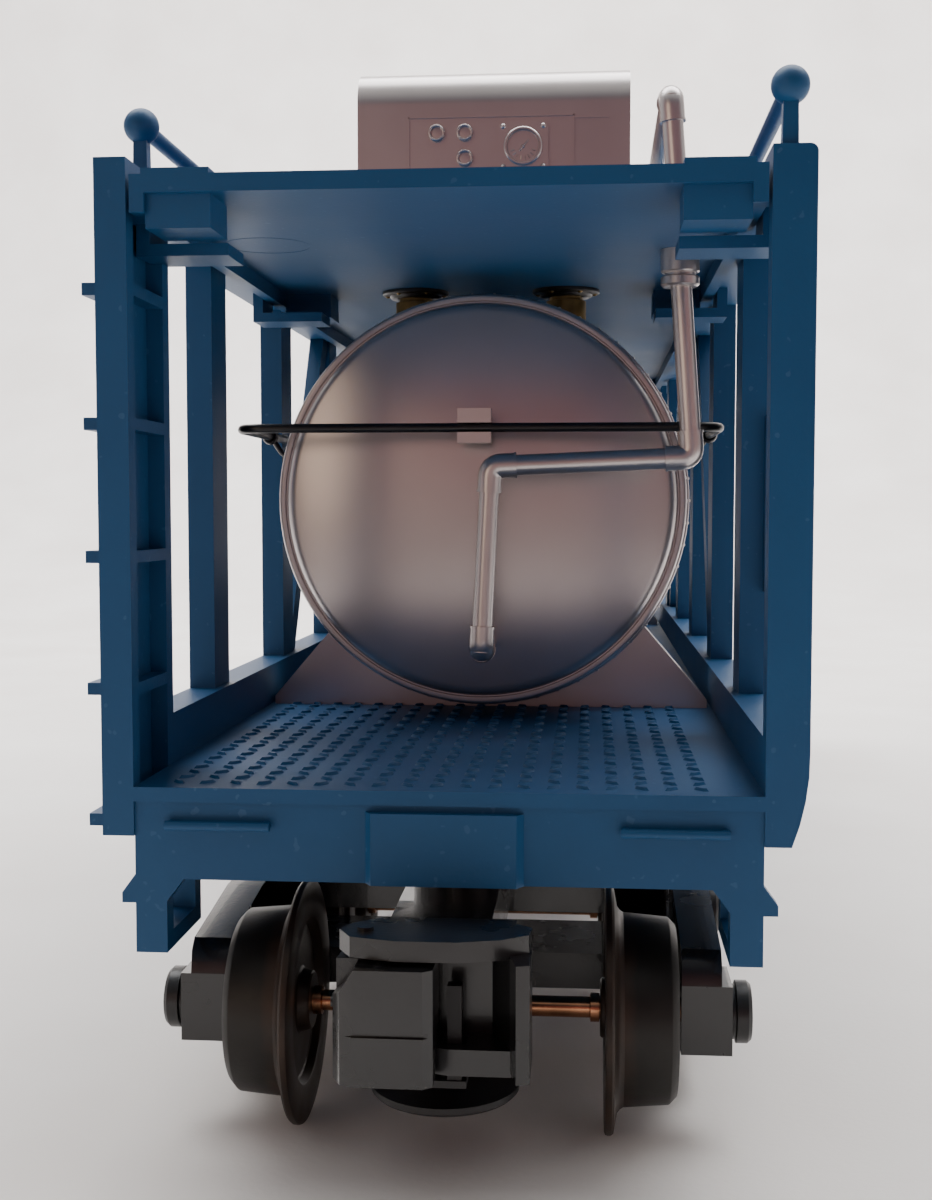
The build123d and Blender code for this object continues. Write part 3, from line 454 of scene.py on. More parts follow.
def span(material, value, low, high):
    """The value carried from 0..1 to low..high."""
    return add(material, "ShaderNodeMapRange", in_Value=value, in_To_Min=low,
               in_To_Max=high).outputs["Result"]


def blue_plastic(look):
    """Injection-moulded styrene in solid blue: an even satin face with a faint mottle, fine grain from the
    tool's spark-eroded wall, and pale dust in specks."""
    material, place = finish("blue_plastic")
    mottle = noise(material, place, 14.0, 4.0)
    tone = ramp(material, mottle, [(0.35, look.blue), (0.75, look.blue_light)])
    mix = add(material, "ShaderNodeMix", data_type="RGBA", in_0=0.35, in_6=look.blue, in_7=tone)
    specks = noise(material, place, 0.9, 1.0, 0.3)
    speck_share = ramp(material, specks, [(0.73, linear("#000000")), (0.76, linear("#6A6A6A"))])
    dusty = add(material, "ShaderNodeMix", data_type="RGBA", in_0=speck_share, in_6=mix.outputs[2],
                in_7=linear("#5F86A6"))
    grain = noise(material, place, 0.35, 2.0, 0.6)
    shader = add(material, "ShaderNodeBsdfPrincipled", in_Base_Color=dusty.outputs[2],
                 in_Roughness=span(material, mottle, 0.42, 0.55), in_Specular_IOR_Level=0.35,
                 in_Normal=bump(material, grain, 0.012))
    surface(material, shader)


def silver_paint(look):
    """Aluminium-flake lacquer over moulded plastic: a broad metallic sheen, finer than bare metal, with flake
    that shows as a soft sparkle, drawn coarser than the real 0.05 mm so that it shows at all."""
    material, place = finish("silver_paint")
    cloud = noise(material, place, 9.0, 3.0)
    tone = ramp(material, cloud, [(0.3, look.silver_dark), (0.7, look.silver)])
    mix = add(material, "ShaderNodeMix", data_type="RGBA", in_0=0.3, in_6=look.silver, in_7=tone)
    flake = noise(material, place, 0.16, 1.0, 0.5)
    shader = add(material, "ShaderNodeBsdfPrincipled", in_Base_Color=mix.outputs[2], in_Metallic=0.9,
                 in_Roughness=span(material, cloud, 0.3, 0.33), in_Normal=bump(material, flake, 0.0016))
    surface(material, shader)


def enamel(name, shade, low, high, relief=0.01, coat=0.0):
    """Baked enamel on die-cast zinc, and black moulded plastic and dipped wire, which look like it: near
    black, glossy in places and duller in others, with the slight orange peel of a sprayed coat."""
    material, place = finish(name)
    cloud = noise(material, place, 5.0, 3.0)
    peel = noise(material, place, 0.5, 2.0, 0.55)
    lighter = tuple(min(1.0, channel * 1.8 + 0.004) for channel in shade[:3]) + (1.0,)
    tone = ramp(material, cloud, [(0.35, shade), (0.8, lighter)])
    shader = add(material, "ShaderNodeBsdfPrincipled", in_Base_Color=tone, in_Coat_Weight=coat,
                 in_Roughness=span(material, cloud, low, high), in_Normal=bump(material, peel, relief))
    surface(material, shader)


def wheel_metal(look):
    """Blackened sintered wheels: a dark satin tread with brown wear where it has run on the rail, in bands
    round the axle, worked out from the distance to the axle's line."""
    material, place = finish("wheel_metal")
    cloud = noise(material, place, 3.0, 4.0)
    parts = add(material, "ShaderNodeSeparateXYZ", in_Vector=place)
    across = add(material, "ShaderNodeMath", operation="ABSOLUTE", in_0=parts.outputs["X"])
    band = add(material, "ShaderNodeMapRange", in_Value=across.outputs[0], in_From_Min=15.8 * MM,
               in_From_Max=18.2 * MM, interpolation_type="SMOOTHSTEP", in_To_Min=1.0, in_To_Max=0.0)
    wear = add(material, "ShaderNodeMath", operation="MULTIPLY", in_0=band.outputs["Result"], in_1=cloud)
    share = ramp(material, wear.outputs[0], [(0.18, linear("#000000")), (0.6, linear("#C0C0C0"))])
    tone = add(material, "ShaderNodeMix", data_type="RGBA", in_0=share, in_6=look.wheel, in_7=look.worn)
    peel = noise(material, place, 0.4, 2.0)
    shader = add(material, "ShaderNodeBsdfPrincipled", in_Base_Color=tone.outputs[2], in_Metallic=0.35,
                 in_Roughness=span(material, cloud, 0.35, 0.55), in_Normal=bump(material, peel, 0.01))
    surface(material, shader)


def plated(name, shade, low, high, relief=0.004):
    """Bare or plated turned metal: a bright surface with fine turning marks and a cloudy tarnish."""
    material, place = finish(name)
    cloud = noise(material, place, 2.5, 4.0)
    darker = tuple(channel * 0.55 for channel in shade[:3]) + (1.0,)
    tone = ramp(material, cloud, [(0.3, darker), (0.62, shade)])
    marks = noise(material, place, 0.3, 2.0)
    shader = add(material, "ShaderNodeBsdfPrincipled", in_Base_Color=tone, in_Metallic=1.0,
                 in_Roughness=span(material, cloud, low, high), in_Normal=bump(material, marks, relief))
    surface(material, shader)


class WAGON_OT_finishes(bpy.types.Operator):
    """Make every finish of the wagon and give it to the frame's own nodes"""
    bl_idname = "wagon.finishes"
    bl_label = "Finishes"

    def execute(self, context):
        look = context.scene.wagon_colours
        blue_plastic(look)
        silver_paint(look)
        wheel_metal(look)
        black = tuple(look.black)
        enamel("black_plastic", black, 0.25, 0.4, 0.006)
        enamel("black_wire", black, 0.3, 0.45, 0.004)
        enamel("black_die_cast", black, 0.16, 0.34, 0.012, coat=0.3)
        enamel("coupler_metal", tuple(look.coupler), 0.2, 0.38, 0.012, coat=0.2)
        enamel("release_metal", black, 0.4, 0.6, 0.008)
        enamel("cap_metal", tuple(look.coupler), 0.3, 0.45, 0.008)
        plated("axle_metal", tuple(look.axle), 0.14, 0.28)
        plated("brass", tuple(look.brass), 0.3, 0.5)
        plated("spring_steel", tuple(look.steel), 0.25, 0.4)
        plated("ballast_steel", tuple(look.steel), 0.35, 0.5)
        plated("screw_steel", linear("#3A3A3C"), 0.3, 0.5)
        slots = {part["node"]: part["material_slot"] for part in frame["record"]["subparts"]}
        for node, item in frame["nodes"].items():
            item.data.materials.clear()
            item.data.materials.append(bpy.data.materials[slots[node]])
        return {"FINISHED"}


# --- shapes taken from the frame's own nodes -------------------------------------------------------------
def own_shape(node):
    """The node's own solid as a shape: a copy with its loose triangles merged and its flat faces joined."""
    work = bmesh.new()
    work.from_mesh(frame["nodes"][node].data)
    bmesh.ops.remove_doubles(work, verts=work.verts, dist=0.002 * MM)
    bmesh.ops.dissolve_limit(work, angle_limit=np.radians(0.8), verts=work.verts, edges=work.edges)
    bmesh.ops.triangulate(work, faces=[face for face in work.faces if len(face.verts) > 60])
    points = np.array([vertex.co for vertex in work.verts]) / MM
    work.verts.index_update()
    rings = [[vertex.index for vertex in face.verts] for face in work.faces]
    work.free()
    sizes = sorted({len(ring) for ring in rings})
    return points, [np.array([ring for ring in rings if len(ring) == count]) for count in sizes]


def truck_places(shape):
    """A shape made for a truck centred on the origin, at truck a, and its half-turned twin at truck b."""
    near = moved(shape, y=TRUCK_Y)
    return {"a": near, "b": half_turned(near)}


# --- body ----------------------------------------------------------------------------------------------
def tread_bars(look):
    """The deck's raised bars: six-sided lozenges with a smaller top, leaning left and right in turn."""
    pitch, length = look.tread_pitch / MM, look.tread_bar / MM
    half, side, height = length / 2, 0.34, 0.26
    top_share, sunk = 0.6, 0.1
    outline = np.array([(-half, 0), (-half * top_share, -side), (half * top_share, -side),
                        (half, 0), (half * top_share, side), (-half * top_share, side)])
    turn = np.radians(45)
    lean = np.array([[np.cos(turn), np.sin(turn)], [-np.sin(turn), np.cos(turn)]])
    edge = 24.3
    across = np.arange(-edge, edge + 0.1, pitch)
    along = np.arange(-HALF_LENGTH + 2.6, HALF_LENGTH - 2.4, pitch)
    column, row = np.meshgrid(np.arange(len(across)), np.arange(len(along)))
    shapes = []
    for parity in (0, 1):
        flat = outline @ (lean if parity else lean.T)
        bar = between(np.column_stack([flat, np.full(6, -sunk)]),
                      np.column_stack([flat * top_share, np.full(6, height)]))
        here = (column + row) % 2 == parity
        offsets = np.column_stack([across[column[here]], along[row[here]], np.full(here.sum(), DECK_TOP)])
        shapes.append(repeated(bar, offsets))
    return join(*shapes)


class WAGON_OT_deck(bpy.types.Operator):
    """Make the deck moulding and its raised tread bars"""
    bl_idname = "wagon.deck"
    bl_label = "Deck"

    def execute(self, context):
        look = context.scene.wagon_sizes
        make("deck_moulding", own_shape("deck"), CAR, "blue_plastic", ("deck",), look.edge)
        make("deck_tread", tread_bars(look), CAR, "blue_plastic")
        return {"FINISHED"}


class WAGON_OT_walls(bpy.types.Operator):
    """Make the two framed side walls with their posts, braces and ladders"""
    bl_idname = "wagon.walls"
    bl_label = "Side walls"

    def execute(self, context):
        look = context.scene.wagon_sizes
        for side in ("right", "left"):
            node = "side_wall_" + side
            make("framed_" + node, own_shape(node), CAR, "blue_plastic", (node,), look.edge)
        return {"FINISHED"}


def gate_mark():
    """A thin raised ring left on the roof's underside by the mould."""
    inner, outer, sunk, proud = 4.44, 4.52, 0.05, -0.03
    x, from_end = -21.0, 26.5
    section = np.array([(inner, sunk), (inner, proud), (outer, proud), (outer, sunk)])
    return turned(section, "z", (x, from_end - HALF_LENGTH, ROOF_BOTTOM), 64, closed=True)


def roof_rail():
    """The +X roof rail: a round bar, a ball at each end, and tapered square posts."""
    middle = (RAIL_LOW + RAIL_HIGH) / 2
    ball_radius = (RAIL_HIGH[0] - RAIL_LOW[0]) / 2
    height = RAIL_HIGH[2] - ball_radius
    start, end = RAIL_LOW[1] + ball_radius, RAIL_HIGH[1] - ball_radius
    bar_radius, post_top, post_foot = 0.75, 0.62, 0.68
    shapes = [rod(bar_radius, start, end, "y", (middle[0], 0, height), sides=40)]
    corners = np.array([(-1, -1), (1, -1), (1, 1), (-1, 1)])
    for y in (start, *POSTS, end):
        shapes.append(between(*[np.column_stack([corners * half + (middle[0], y), np.full(4, level)])
                                for half, level in ((post_foot, RAIL_LOW[2]), (post_top, height))]))
    shapes += [ball(ball_radius, (middle[0], y, height), 48) for y in (start, end)]
    return join(*shapes)


class WAGON_OT_roof(bpy.types.Operator):
    """Make the roof moulding and its two handrails"""
    bl_idname = "wagon.roof"
    bl_label = "Roof"

    def execute(self, context):
        look = context.scene.wagon_sizes
        make("roof_moulding", join(own_shape("roof"), gate_mark()), CAR, "blue_plastic", ("roof",), look.edge)
        right = roof_rail()
        make("roof_handrail_right", right, CAR, "blue_plastic", ("roof_rail_right",), look.edge * 0.6)
        make("roof_handrail_left", half_turned(right), CAR, "blue_plastic", ("roof_rail_left",),
             look.edge * 0.6)
        return {"FINISHED"}


# --- tank ----------------------------------------------------------------------------------------------
def rivet_rows(look, radius, rows, height):
    """Rows of rivets round the tank: at each row, heads evenly spaced on a circle about the tank's axis.
    A head is three eight-sided rings, each smaller and further out than the last."""
    count = int(2 * np.pi * radius / (look.rivet_pitch / MM))
    angle = np.arange(count) * 2 * np.pi / count
    share = np.linspace(0, 2 * np.pi, 8, endpoint=False)
    head = look.rivet / MM
    rings = np.array([(1.0, -0.08), (0.85, height * 0.6), (0.45, height * 0.95)])
    flat = np.stack([np.cos(share), np.sin(share)], 1)
    local = np.vstack([np.column_stack([flat * wide * head, np.full(8, rise)]) for wide, rise in rings])
    ring = np.arange(8)
    faces = [grid_quads(3, 8), ring[None, ::-1], ring[None, :] + 16]
    outward = np.column_stack([np.cos(angle), np.zeros(count), np.sin(angle)])
    round_way = np.column_stack([-np.sin(angle), np.zeros(count), np.cos(angle)])
    along = np.array([0.0, 1.0, 0.0])
    heads = (outward[:, None, :] * (radius + local[None, :, 2:3])
             + round_way[:, None, :] * local[None, :, 0:1] + along * local[None, :, 1:2])
    step = np.arange(count)[:, None, None] * len(local)
    tables = [(table[None] + step).reshape(-1, table.shape[1]) for table in faces]
    return join(*[moved((heads.reshape(-1, 3), tables), y=y, z=TANK_HEIGHT) for y in rows])


def tank_head():
    """The -Y head: a rim ring, a groove, a rolled shoulder and a shallow dome that is part of a sphere."""
    front, back, rim = RIM_PLANE, HEAD_HIGH[1], RIM_RADIUS
    depth = front - HEAD_LOW[1]
    edge = 0.35
    ease = arc((rim - edge, front + edge), edge, 0, -90, 6)
    groove = [(rim - 0.75, front), (rim - 0.85, front + 0.18), (rim - 0.98, front + 0.18),
              (rim - 1.08, front - 0.1)]
    shoulder_radius, shoulder_depth = rim - 2.35, 1.15
    share = np.linspace(0, 1, 10)[1:, None]
    start, middle, end = np.array([groove[-1], (rim - 1.2, front - 0.95),
                                   (shoulder_radius, front - shoulder_depth)])
    roll = (1 - share) ** 2 * start + 2 * share * (1 - share) * middle + share ** 2 * end
    rise = depth - shoulder_depth
    sphere = (shoulder_radius ** 2 + rise ** 2) / (2 * rise)
    radius = np.linspace(shoulder_radius, 0, 36)[1:]
    height = front - depth + sphere - np.sqrt(sphere ** 2 - radius ** 2)
    profile = np.vstack([[(0, back), (rim, back), (rim, front + edge)], ease[1:], groove, roll,
                         np.column_stack([radius, height])])
    return turned(profile, "y", TANK_AXIS, 192)


def barrel():
    """The shell: a tube whose section is a closed ring, up its outside and back down its inside."""
    steps = np.linspace(BARREL_LOW[1], BARREL_HIGH[1], 24)
    outside = np.column_stack([np.full(24, TANK_RADIUS), steps])
    inside = np.column_stack([np.full(24, TANK_RADIUS - SHELL_WALL), steps[::-1]])
    return turned(np.vstack([outside, inside]), "y", TANK_AXIS, 192, closed=True)


def hoop(y):
    """One hoop: a flat ring whose outer edges are eased by quarter circles."""
    outer, inner = BAND_RADIUS, TANK_RADIUS - 0.02
    ease = 0.18
    first = arc((outer - ease, y - HOOP_HALF + ease), ease, -90, 0, 4)
    last = arc((outer - ease, y + HOOP_HALF - ease), ease, 0, 90, 4)
    section = np.vstack([[(inner, y - HOOP_HALF)], first, last, [(inner, y + HOOP_HALF)]])
    return turned(section, "y", TANK_AXIS, 192, closed=True)


def saddle():
    """The -Y saddle from the frame, with a small bolt lug on each foot."""
    radius, x_place, low, high = 0.7, 25.6, DECK_TOP + 0.9, DECK_TOP + 1.5
    lugs = [rod(radius, low, high, "z", (x, -SADDLE_Y, 0), 0.15, 6) for x in (-x_place, x_place)]
    return join(own_shape("tank_saddle_a"), *lugs)


class WAGON_OT_tank(bpy.types.Operator):
    """Make the silver tank: barrel, heads, hoops with rivets, and saddles"""
    bl_idname = "wagon.tank"
    bl_label = "Tank"

    def execute(self, context):
        look = context.scene.wagon_sizes
        make("tank_shell", barrel(), CAR, "silver_paint", ("tank_barrel",))
        rivet_height = 0.15
        head = join(tank_head(), rivet_rows(look, RIM_RADIUS, (RIM_RIVETS,), rivet_height))
        for letter, shape in (("a", head), ("b", half_turned(head))):
            make("tank_end_" + letter, shape, CAR, "silver_paint", ("tank_head_" + letter,), sharp=50)
        places = (BANDS_LOW[1] + HOOP_HALF, -POST_PITCH / 2, POST_PITCH / 2, BANDS_HIGH[1] - HOOP_HALF)
        hoops = join(*[hoop(y) for y in places])
        rows = [y + step for y in places for step in (-1.0, 1.0)]
        make("tank_hoops", hoops, CAR, "silver_paint", ("tank_bands",))
        make("tank_rivets", rivet_rows(look, BAND_RADIUS, rows, rivet_height), CAR, "silver_paint")
        near = saddle()
        make("tank_cradle_a", near, CAR, "silver_paint", ("tank_saddle_a",), look.edge)
        make("tank_cradle_b", half_turned(near), CAR, "silver_paint", ("tank_saddle_b",), look.edge)
        return {"FINISHED"}


class WAGON_OT_tank_fittings(bpy.types.Operator):
    """Make the black discs and brass posts between the tank and the roof"""
    bl_idname = "wagon.tank_fittings"
    bl_label = "Tank fittings"

    def execute(self, context):
        top, bottom = FLANGES_HIGH[2], FLANGES_LOW[2]
        radius = 4.2
        profile = [(0, top), (radius, top), (radius, top - 0.35), (radius - 0.2, top - 0.5),
                   (radius - 0.9, top - 0.55), (radius - 1.1, bottom + 0.05), (radius - 1.2, bottom),
                   (0, bottom)]
        places = [(x, y, 0) for x in (-9.5, 9.5) for y in (-SADDLE_Y, SADDLE_Y)]
        discs = join(*[turned(profile, "z", place, 64) for place in places])
        make("tank_top_discs", discs, CAR, "black_plastic", ("tank_top_flanges",), sharp=30)
        turn = np.radians(np.arange(0, 360, 60))
        circle = 3.55
        ring = np.column_stack([circle * np.cos(turn), circle * np.sin(turn), np.zeros(6)])
        heads = join(*[repeated(dome(0.32, 0.22, "z", (x, y, top - 0.52), -1), ring) for x, y, _ in places])
        make("disc_rivets", heads, CAR, "brass")
        low = STUBS_LOW[2]
        posts = join(*[turned([(0, low), (2.5, low), (2.5, bottom - 0.5), (2.1, bottom - 0.4), (2.1, bottom),
                               (0, bottom)], "z", place, 48) for place in places])
        make("tank_top_posts", posts, CAR, "brass", ("tank_top_stubs",), sharp=30)
        return {"FINISHED"}


# --- handrail wire ---------------------------------------------------------------------------------------
def wire_loop():
    """The wire: a circle carried round a level rectangle with rounded corners."""
    bend = 3.0
    flat = rounded_rectangle(WIRE_HIGH[0] - WIRE_RADIUS, WIRE_HIGH[1] - WIRE_RADIUS, bend, 10)
    return swept(np.column_stack([flat, np.full(len(flat), WIRE_HEIGHT)]), WIRE_RADIUS, 16, closed=True)


def wire_bosses(places):
    """Round bosses on the tank's +X side: a wide foot and a stem with an eased end."""
    level = WIRE_HEIGHT - 2.2
    reach = WIRE_HIGH[0] - WIRE_RADIUS - 2.4
    start = 20.0
    profile = [(0, start), (1.9, start), (1.9, start + 2.2), (1.3, start + 2.9), (1.3, reach - 0.25),
               (1.1, reach), (0, reach)]
    return join(*[turned(profile, "x", (0, y, level), 32) for y in places])


def head_clip():
    """The clip at the -Y head: blocks above and below the wire on a plate with a stem."""
    wire_y = WIRE_LOW[1] + WIRE_RADIUS
    front = wire_y - 0.9
    back = wire_y + WIRE_RADIUS
    gap = WIRE_RADIUS
    left, right = -2.0, 1.7
    low, high = WIRE_HEIGHT - 1.7, WIRE_HEIGHT + 2.1
    stem_end = -86.6
    return join(block(left, right, front, back, WIRE_HEIGHT + gap, high),
                block(left, right, front, back, low, WIRE_HEIGHT - gap),
                block(left, right, back + 0.01, back + 0.8, low, high),
                block(left + 0.9, right - 0.9, back + 0.4, stem_end, low + 0.6, high - 0.6))


def eyelets(places):
    """Black eyelets on the +X side: a ring round the wire and an arm with an open hook at its foot."""
    x = WIRE_HIGH[0] - WIRE_RADIUS
    shapes = []
    round_way = np.linspace(0, 2 * np.pi, 10, endpoint=False)
    section = np.column_stack([0.78 + 0.27 * np.cos(round_way), 0.6 * np.sin(round_way)])
    for y in places:
        ring = turned(section, "y", (x, y, WIRE_HEIGHT), 24, closed=True)
        arm = rounded([(x - 2.9, y, WIRE_HEIGHT - 2.2), (x - 1.6, y, WIRE_HEIGHT - 2.4),
                       (x - 0.5, y, WIRE_HEIGHT - 0.7)], 0.8, 5)
        turn = np.radians(np.linspace(-200, 60, 14))
        hook = np.column_stack([x - 2.3 + 0.62 * np.cos(turn), np.full(14, y),
                                WIRE_HEIGHT - 2.75 + 0.62 * np.sin(turn)])
        shapes += [ring, swept(arm, 0.34, 10), swept(hook, 0.24, 8)]
    return join(*shapes)


class WAGON_OT_wire(bpy.types.Operator):
    """Make the wire handrail, its silver bosses and clips, and its black eyelets"""
    bl_idname = "wagon.wire"
    bl_label = "Wire handrail"

    def execute(self, context):
        places = np.array([-1, -1 / 3, 1 / 3, 1]) * BOSS_Y
        make("handrail_wire", wire_loop(), CAR, "black_wire", ("tank_handrail",))
        bosses = mirrored(wire_bosses(places))
        make("handrail_supports", bosses, CAR, "silver_paint", ("handrail_bosses",), sharp=30)
        make("handrail_clips", both_ends(head_clip()), CAR, "silver_paint",
             bevel=context.scene.wagon_sizes.edge * 0.6)
        make("handrail_hooks", mirrored(eyelets(places)), CAR, "black_plastic", ("handrail_eyelets",))
        return {"FINISHED"}


# --- pipework --------------------------------------------------------------------------------------------
def towards(start, end, length):
    """The point a length from the start on the way to the end."""
    start, end = np.asarray(start, float), np.asarray(end, float)
    return start + (end - start) * length / np.linalg.norm(end - start)


def fitting(corner, before, after, arm, radius=1.34):
    """An elbow fitting: a slightly fatter tube round the corner, with a fine bead at each mouth."""
    first, last = towards(corner, before, arm), towards(corner, after, arm)
    body = swept(rounded([first, corner, last], 1.9, 9), radius, 32)
    lips = [swept([towards(corner, side, arm - 0.12), towards(corner, side, arm + 0.12)], radius + 0.07, 32)
            for side in (before, after)]
    return join(body, *lips)


def pipe_run(points, arm=2.7):
    """Straight round pipes from point to point, with an elbow fitting at each corner."""
    pipes = [swept([start, end], PIPE_RADIUS, 32) for start, end in zip(points, points[1:])]
    elbows = [fitting(corner, before, after, arm)
              for before, corner, after in zip(points, points[1:], points[2:])]
    return join(join(*pipes), *elbows)


class WAGON_OT_pipes(bpy.types.Operator):
    """Make the feed pipe, its collar under the roof, and the vent pipe above it"""
    bl_idname = "wagon.pipes"
    bl_label = "Pipework"

    def execute(self, context):
        plane = (COLLAR_LOW[1] + COLLAR_HIGH[1]) / 2
        top = COLLAR_LOW[2]
        outlet_x, outlet_z = 0.9, 43.4
        feed = [(outlet_x, RIM_PLANE - 0.5, outlet_z), (outlet_x, plane, outlet_z), (1.9, plane, 63.5),
                (23.4, plane, 64.4), (22.1, plane, top + 0.5)]
        make("tank_feed_pipe", pipe_run(feed), CAR, "silver_paint", ("feed_pipe",), sharp=35)
        radius = (COLLAR_HIGH[0] - COLLAR_LOW[0]) / 2
        seat = COLLAR_HIGH[2]
        profile = [(0, top), (radius - 0.25, top), (radius, top + 0.2), (radius, top + 0.95),
                   (radius - 0.15, top + 1.1), (radius - 0.45, top + 1.1), (radius - 0.45, top + 1.45),
                   (radius - 0.15, top + 1.45), (radius, top + 1.6), (radius, seat - 0.02), (0, seat - 0.02)]
        ring = turned(profile, "z", ((COLLAR_HIGH[0] + COLLAR_LOW[0]) / 2, plane, 0), 64)
        make("feed_pipe_collar", ring, CAR, "silver_paint", ("pipe_collar",), sharp=30)
        run_y = CABINET_LOW[1] + 25.0
        side = CABINET_HIGH[0]
        run_x, run_z = 20.9, 101.0
        vent = [(22.0, plane, 87.95), (run_x, plane, 102.3), (run_x, run_y, run_z), (side, run_y, run_z)]
        make("roof_vent_pipe", pipe_run(vent, 2.6), CAR, "silver_paint", ("vent_pipe",), sharp=35)
        return {"FINISHED"}


# --- cabinet ---------------------------------------------------------------------------------------------
def cabinet_shell():
    """The cabinet: an outline in Y and Z with two quarter-circle shoulders, carried along X."""
    low, high = CABINET_LOW, CABINET_HIGH
    ease = 5.0
    near = arc((low[1] + ease, high[2] - ease), ease, 180, 90, 20)
    far = arc((high[1] - ease, high[2] - ease), ease, 90, 0, 20)
    outline = np.vstack([[(low[1], low[2])], near, far, [(high[1], low[2])]])
    return prism(outline, low[0], high[0], "x")


def open_frame(x0, x1, z0, z1, width, y0, y1):
    """Thin bars up both sides and along the top of a rectangle on a face square to Y."""
    return join(block(x0, x0 + width, y0, y1, z0, z1), block(x1 - width, x1, y0, y1, z0, z1),
                block(x0, x1, y0, y1, z1 - width, z1))


def gauge(centre_x, centre_z, face):
    """The gauge: a square plate with rounded corners, a bezel, a sunk dial with ticks, and a needle."""
    half, corner = 3.2, 0.7
    outline = rounded_rectangle(half, half, corner, 6)
    plate = prism(outline + (centre_x, centre_z), face - 0.5, face, "y")
    bezel = turned([(2.0, face - 0.3), (2.0, face - 0.78), (2.12, face - 0.95), (2.3, face - 0.95),
                    (2.45, face - 0.8), (2.45, face - 0.3)], "y", (centre_x, 0, centre_z), 72, closed=True)
    turn = np.radians(np.arange(200, 341, 20))
    ticks = [swept(np.array([(centre_x + r * np.cos(a), face - 0.52, centre_z + r * np.sin(a))
                             for r in (1.2, 1.7)]), 0.085, 6) for a in turn]
    lean = np.radians(50)
    needle = swept(np.array([(centre_x + r * np.cos(lean), face - 0.58, centre_z + r * np.sin(lean))
                             for r in (-0.75, 0.2, 1.1)]), [0.15, 0.11, 0.05], 8)
    hub = dome(0.26, 0.22, "y", (centre_x, face - 0.5, centre_z), -1, 16)
    screws = [dome(0.36, 0.26, "y", (centre_x + sx * 2.55, face - 0.5, centre_z + sz * 2.55), -1, 14)
              for sx in (-1, 1) for sz in (-1, 1)]
    return join(plate, bezel, needle, hub, *ticks, *screws)


def push_button(x, z, face):
    """A ring button: a rounded bezel round a sunk face."""
    turn = np.linspace(0, np.pi, 8)
    outer, inner = 1.07, 0.72
    middle, half = (outer + inner) / 2, (outer - inner) / 2
    lip = np.column_stack([middle + half * np.cos(turn), face - 0.5 - 0.22 * np.sin(turn)])
    profile = np.vstack([[(0, face), (outer, face)], lip, [(inner, face - 0.3), (0, face - 0.36)]])
    return turned(profile, "y", (x, 0, z), 40)


class WAGON_OT_cabinet(bpy.types.Operator):
    """Make the roof cabinet and the control panel on its -Y face"""
    bl_idname = "wagon.cabinet"
    bl_label = "Cabinet"

    def execute(self, context):
        look = context.scene.wagon_sizes
        face = CABINET_LOW[1]
        make("roof_cabinet", cabinet_shell(), CAR, "silver_paint", ("cabinet",), look.edge)
        left, right = PANEL_LOW[0], PANEL_HIGH[0]
        low, high = PANEL_LOW[2], PANEL_HIGH[2]
        plate = block(left + 0.1, right - 0.1, face - 0.12, face, low, high - 0.1)
        ridge = open_frame(left, right, low, high, 0.17, face - 0.34, face)
        seam = block(right, right + 4.4, face - 0.14, face, high - 0.45, high - 0.25)
        button_places = ((-7.2, 107.0), (-3.6, 107.0), (-3.6, 103.8))
        gauge_place = (3.9, 105.1)
        buttons = [push_button(x, z, face - 0.1) for x, z in button_places]
        panel = join(plate, ridge, seam, gauge(*gauge_place, face - 0.1), *buttons)
        make("cabinet_panel", panel, CAR, "silver_paint", ("control_panel",), look.edge * 0.25)
        return {"FINISHED"}


# --- trucks ----------------------------------------------------------------------------------------------
class WAGON_OT_truck_frames(bpy.types.Operator):
    """Make each truck's bolster, spring plank and side frames"""
    bl_idname = "wagon.truck_frames"
    bl_label = "Truck frames"

    def execute(self, context):
        look = context.scene.wagon_sizes
        for letter in "ab":
            node = "bolster_" + letter
            make("cross_beam_" + letter, own_shape(node), "truck_" + letter, "black_die_cast", (node,),
                 look.cast_edge)
            body = "side_frames_" + letter
            node = "spring_plank_" + letter
            make("tie_plank_" + letter, own_shape(node), body, "black_die_cast", (node,), look.cast_edge)
            for side in ("right", "left"):
                node = "side_frame_" + side + "_" + letter
                make("truck_" + node, own_shape(node), body, "black_die_cast", (node,), look.cast_edge)
        return {"FINISHED"}


class WAGON_OT_springs(bpy.types.Operator):
    """Make the coil springs"""
    bl_idname = "wagon.springs"
    bl_label = "Springs"

    def execute(self, context):
        look = context.scene.wagon_sizes
        wire = look.spring_wire / MM
        low, high = SPRINGS_LOW[2], SPRINGS_HIGH[2]
        outer, y_place = 1.7, 2.4
        x_place = SPRINGS_HIGH[0] - outer
        turns = 4.5
        share = np.linspace(0, 1, int(turns * 20))
        turn = share * turns * 2 * np.pi
        rise = low + wire + (high - low - 2 * wire) * share
        helix = np.column_stack([(outer - wire) * np.cos(turn), (outer - wire) * np.sin(turn), rise])
        coil = swept(helix, wire, 10)
        offsets = [(x, y, 0) for x in (-x_place, x_place) for y in (-y_place, y_place)]
        for letter, shape in truck_places(repeated(coil, offsets)).items():
            piece = make("coil_springs_" + letter, shape, "truck_" + letter, "spring_steel",
                         ("springs_" + letter,))
            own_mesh(piece)
        return {"FINISHED"}


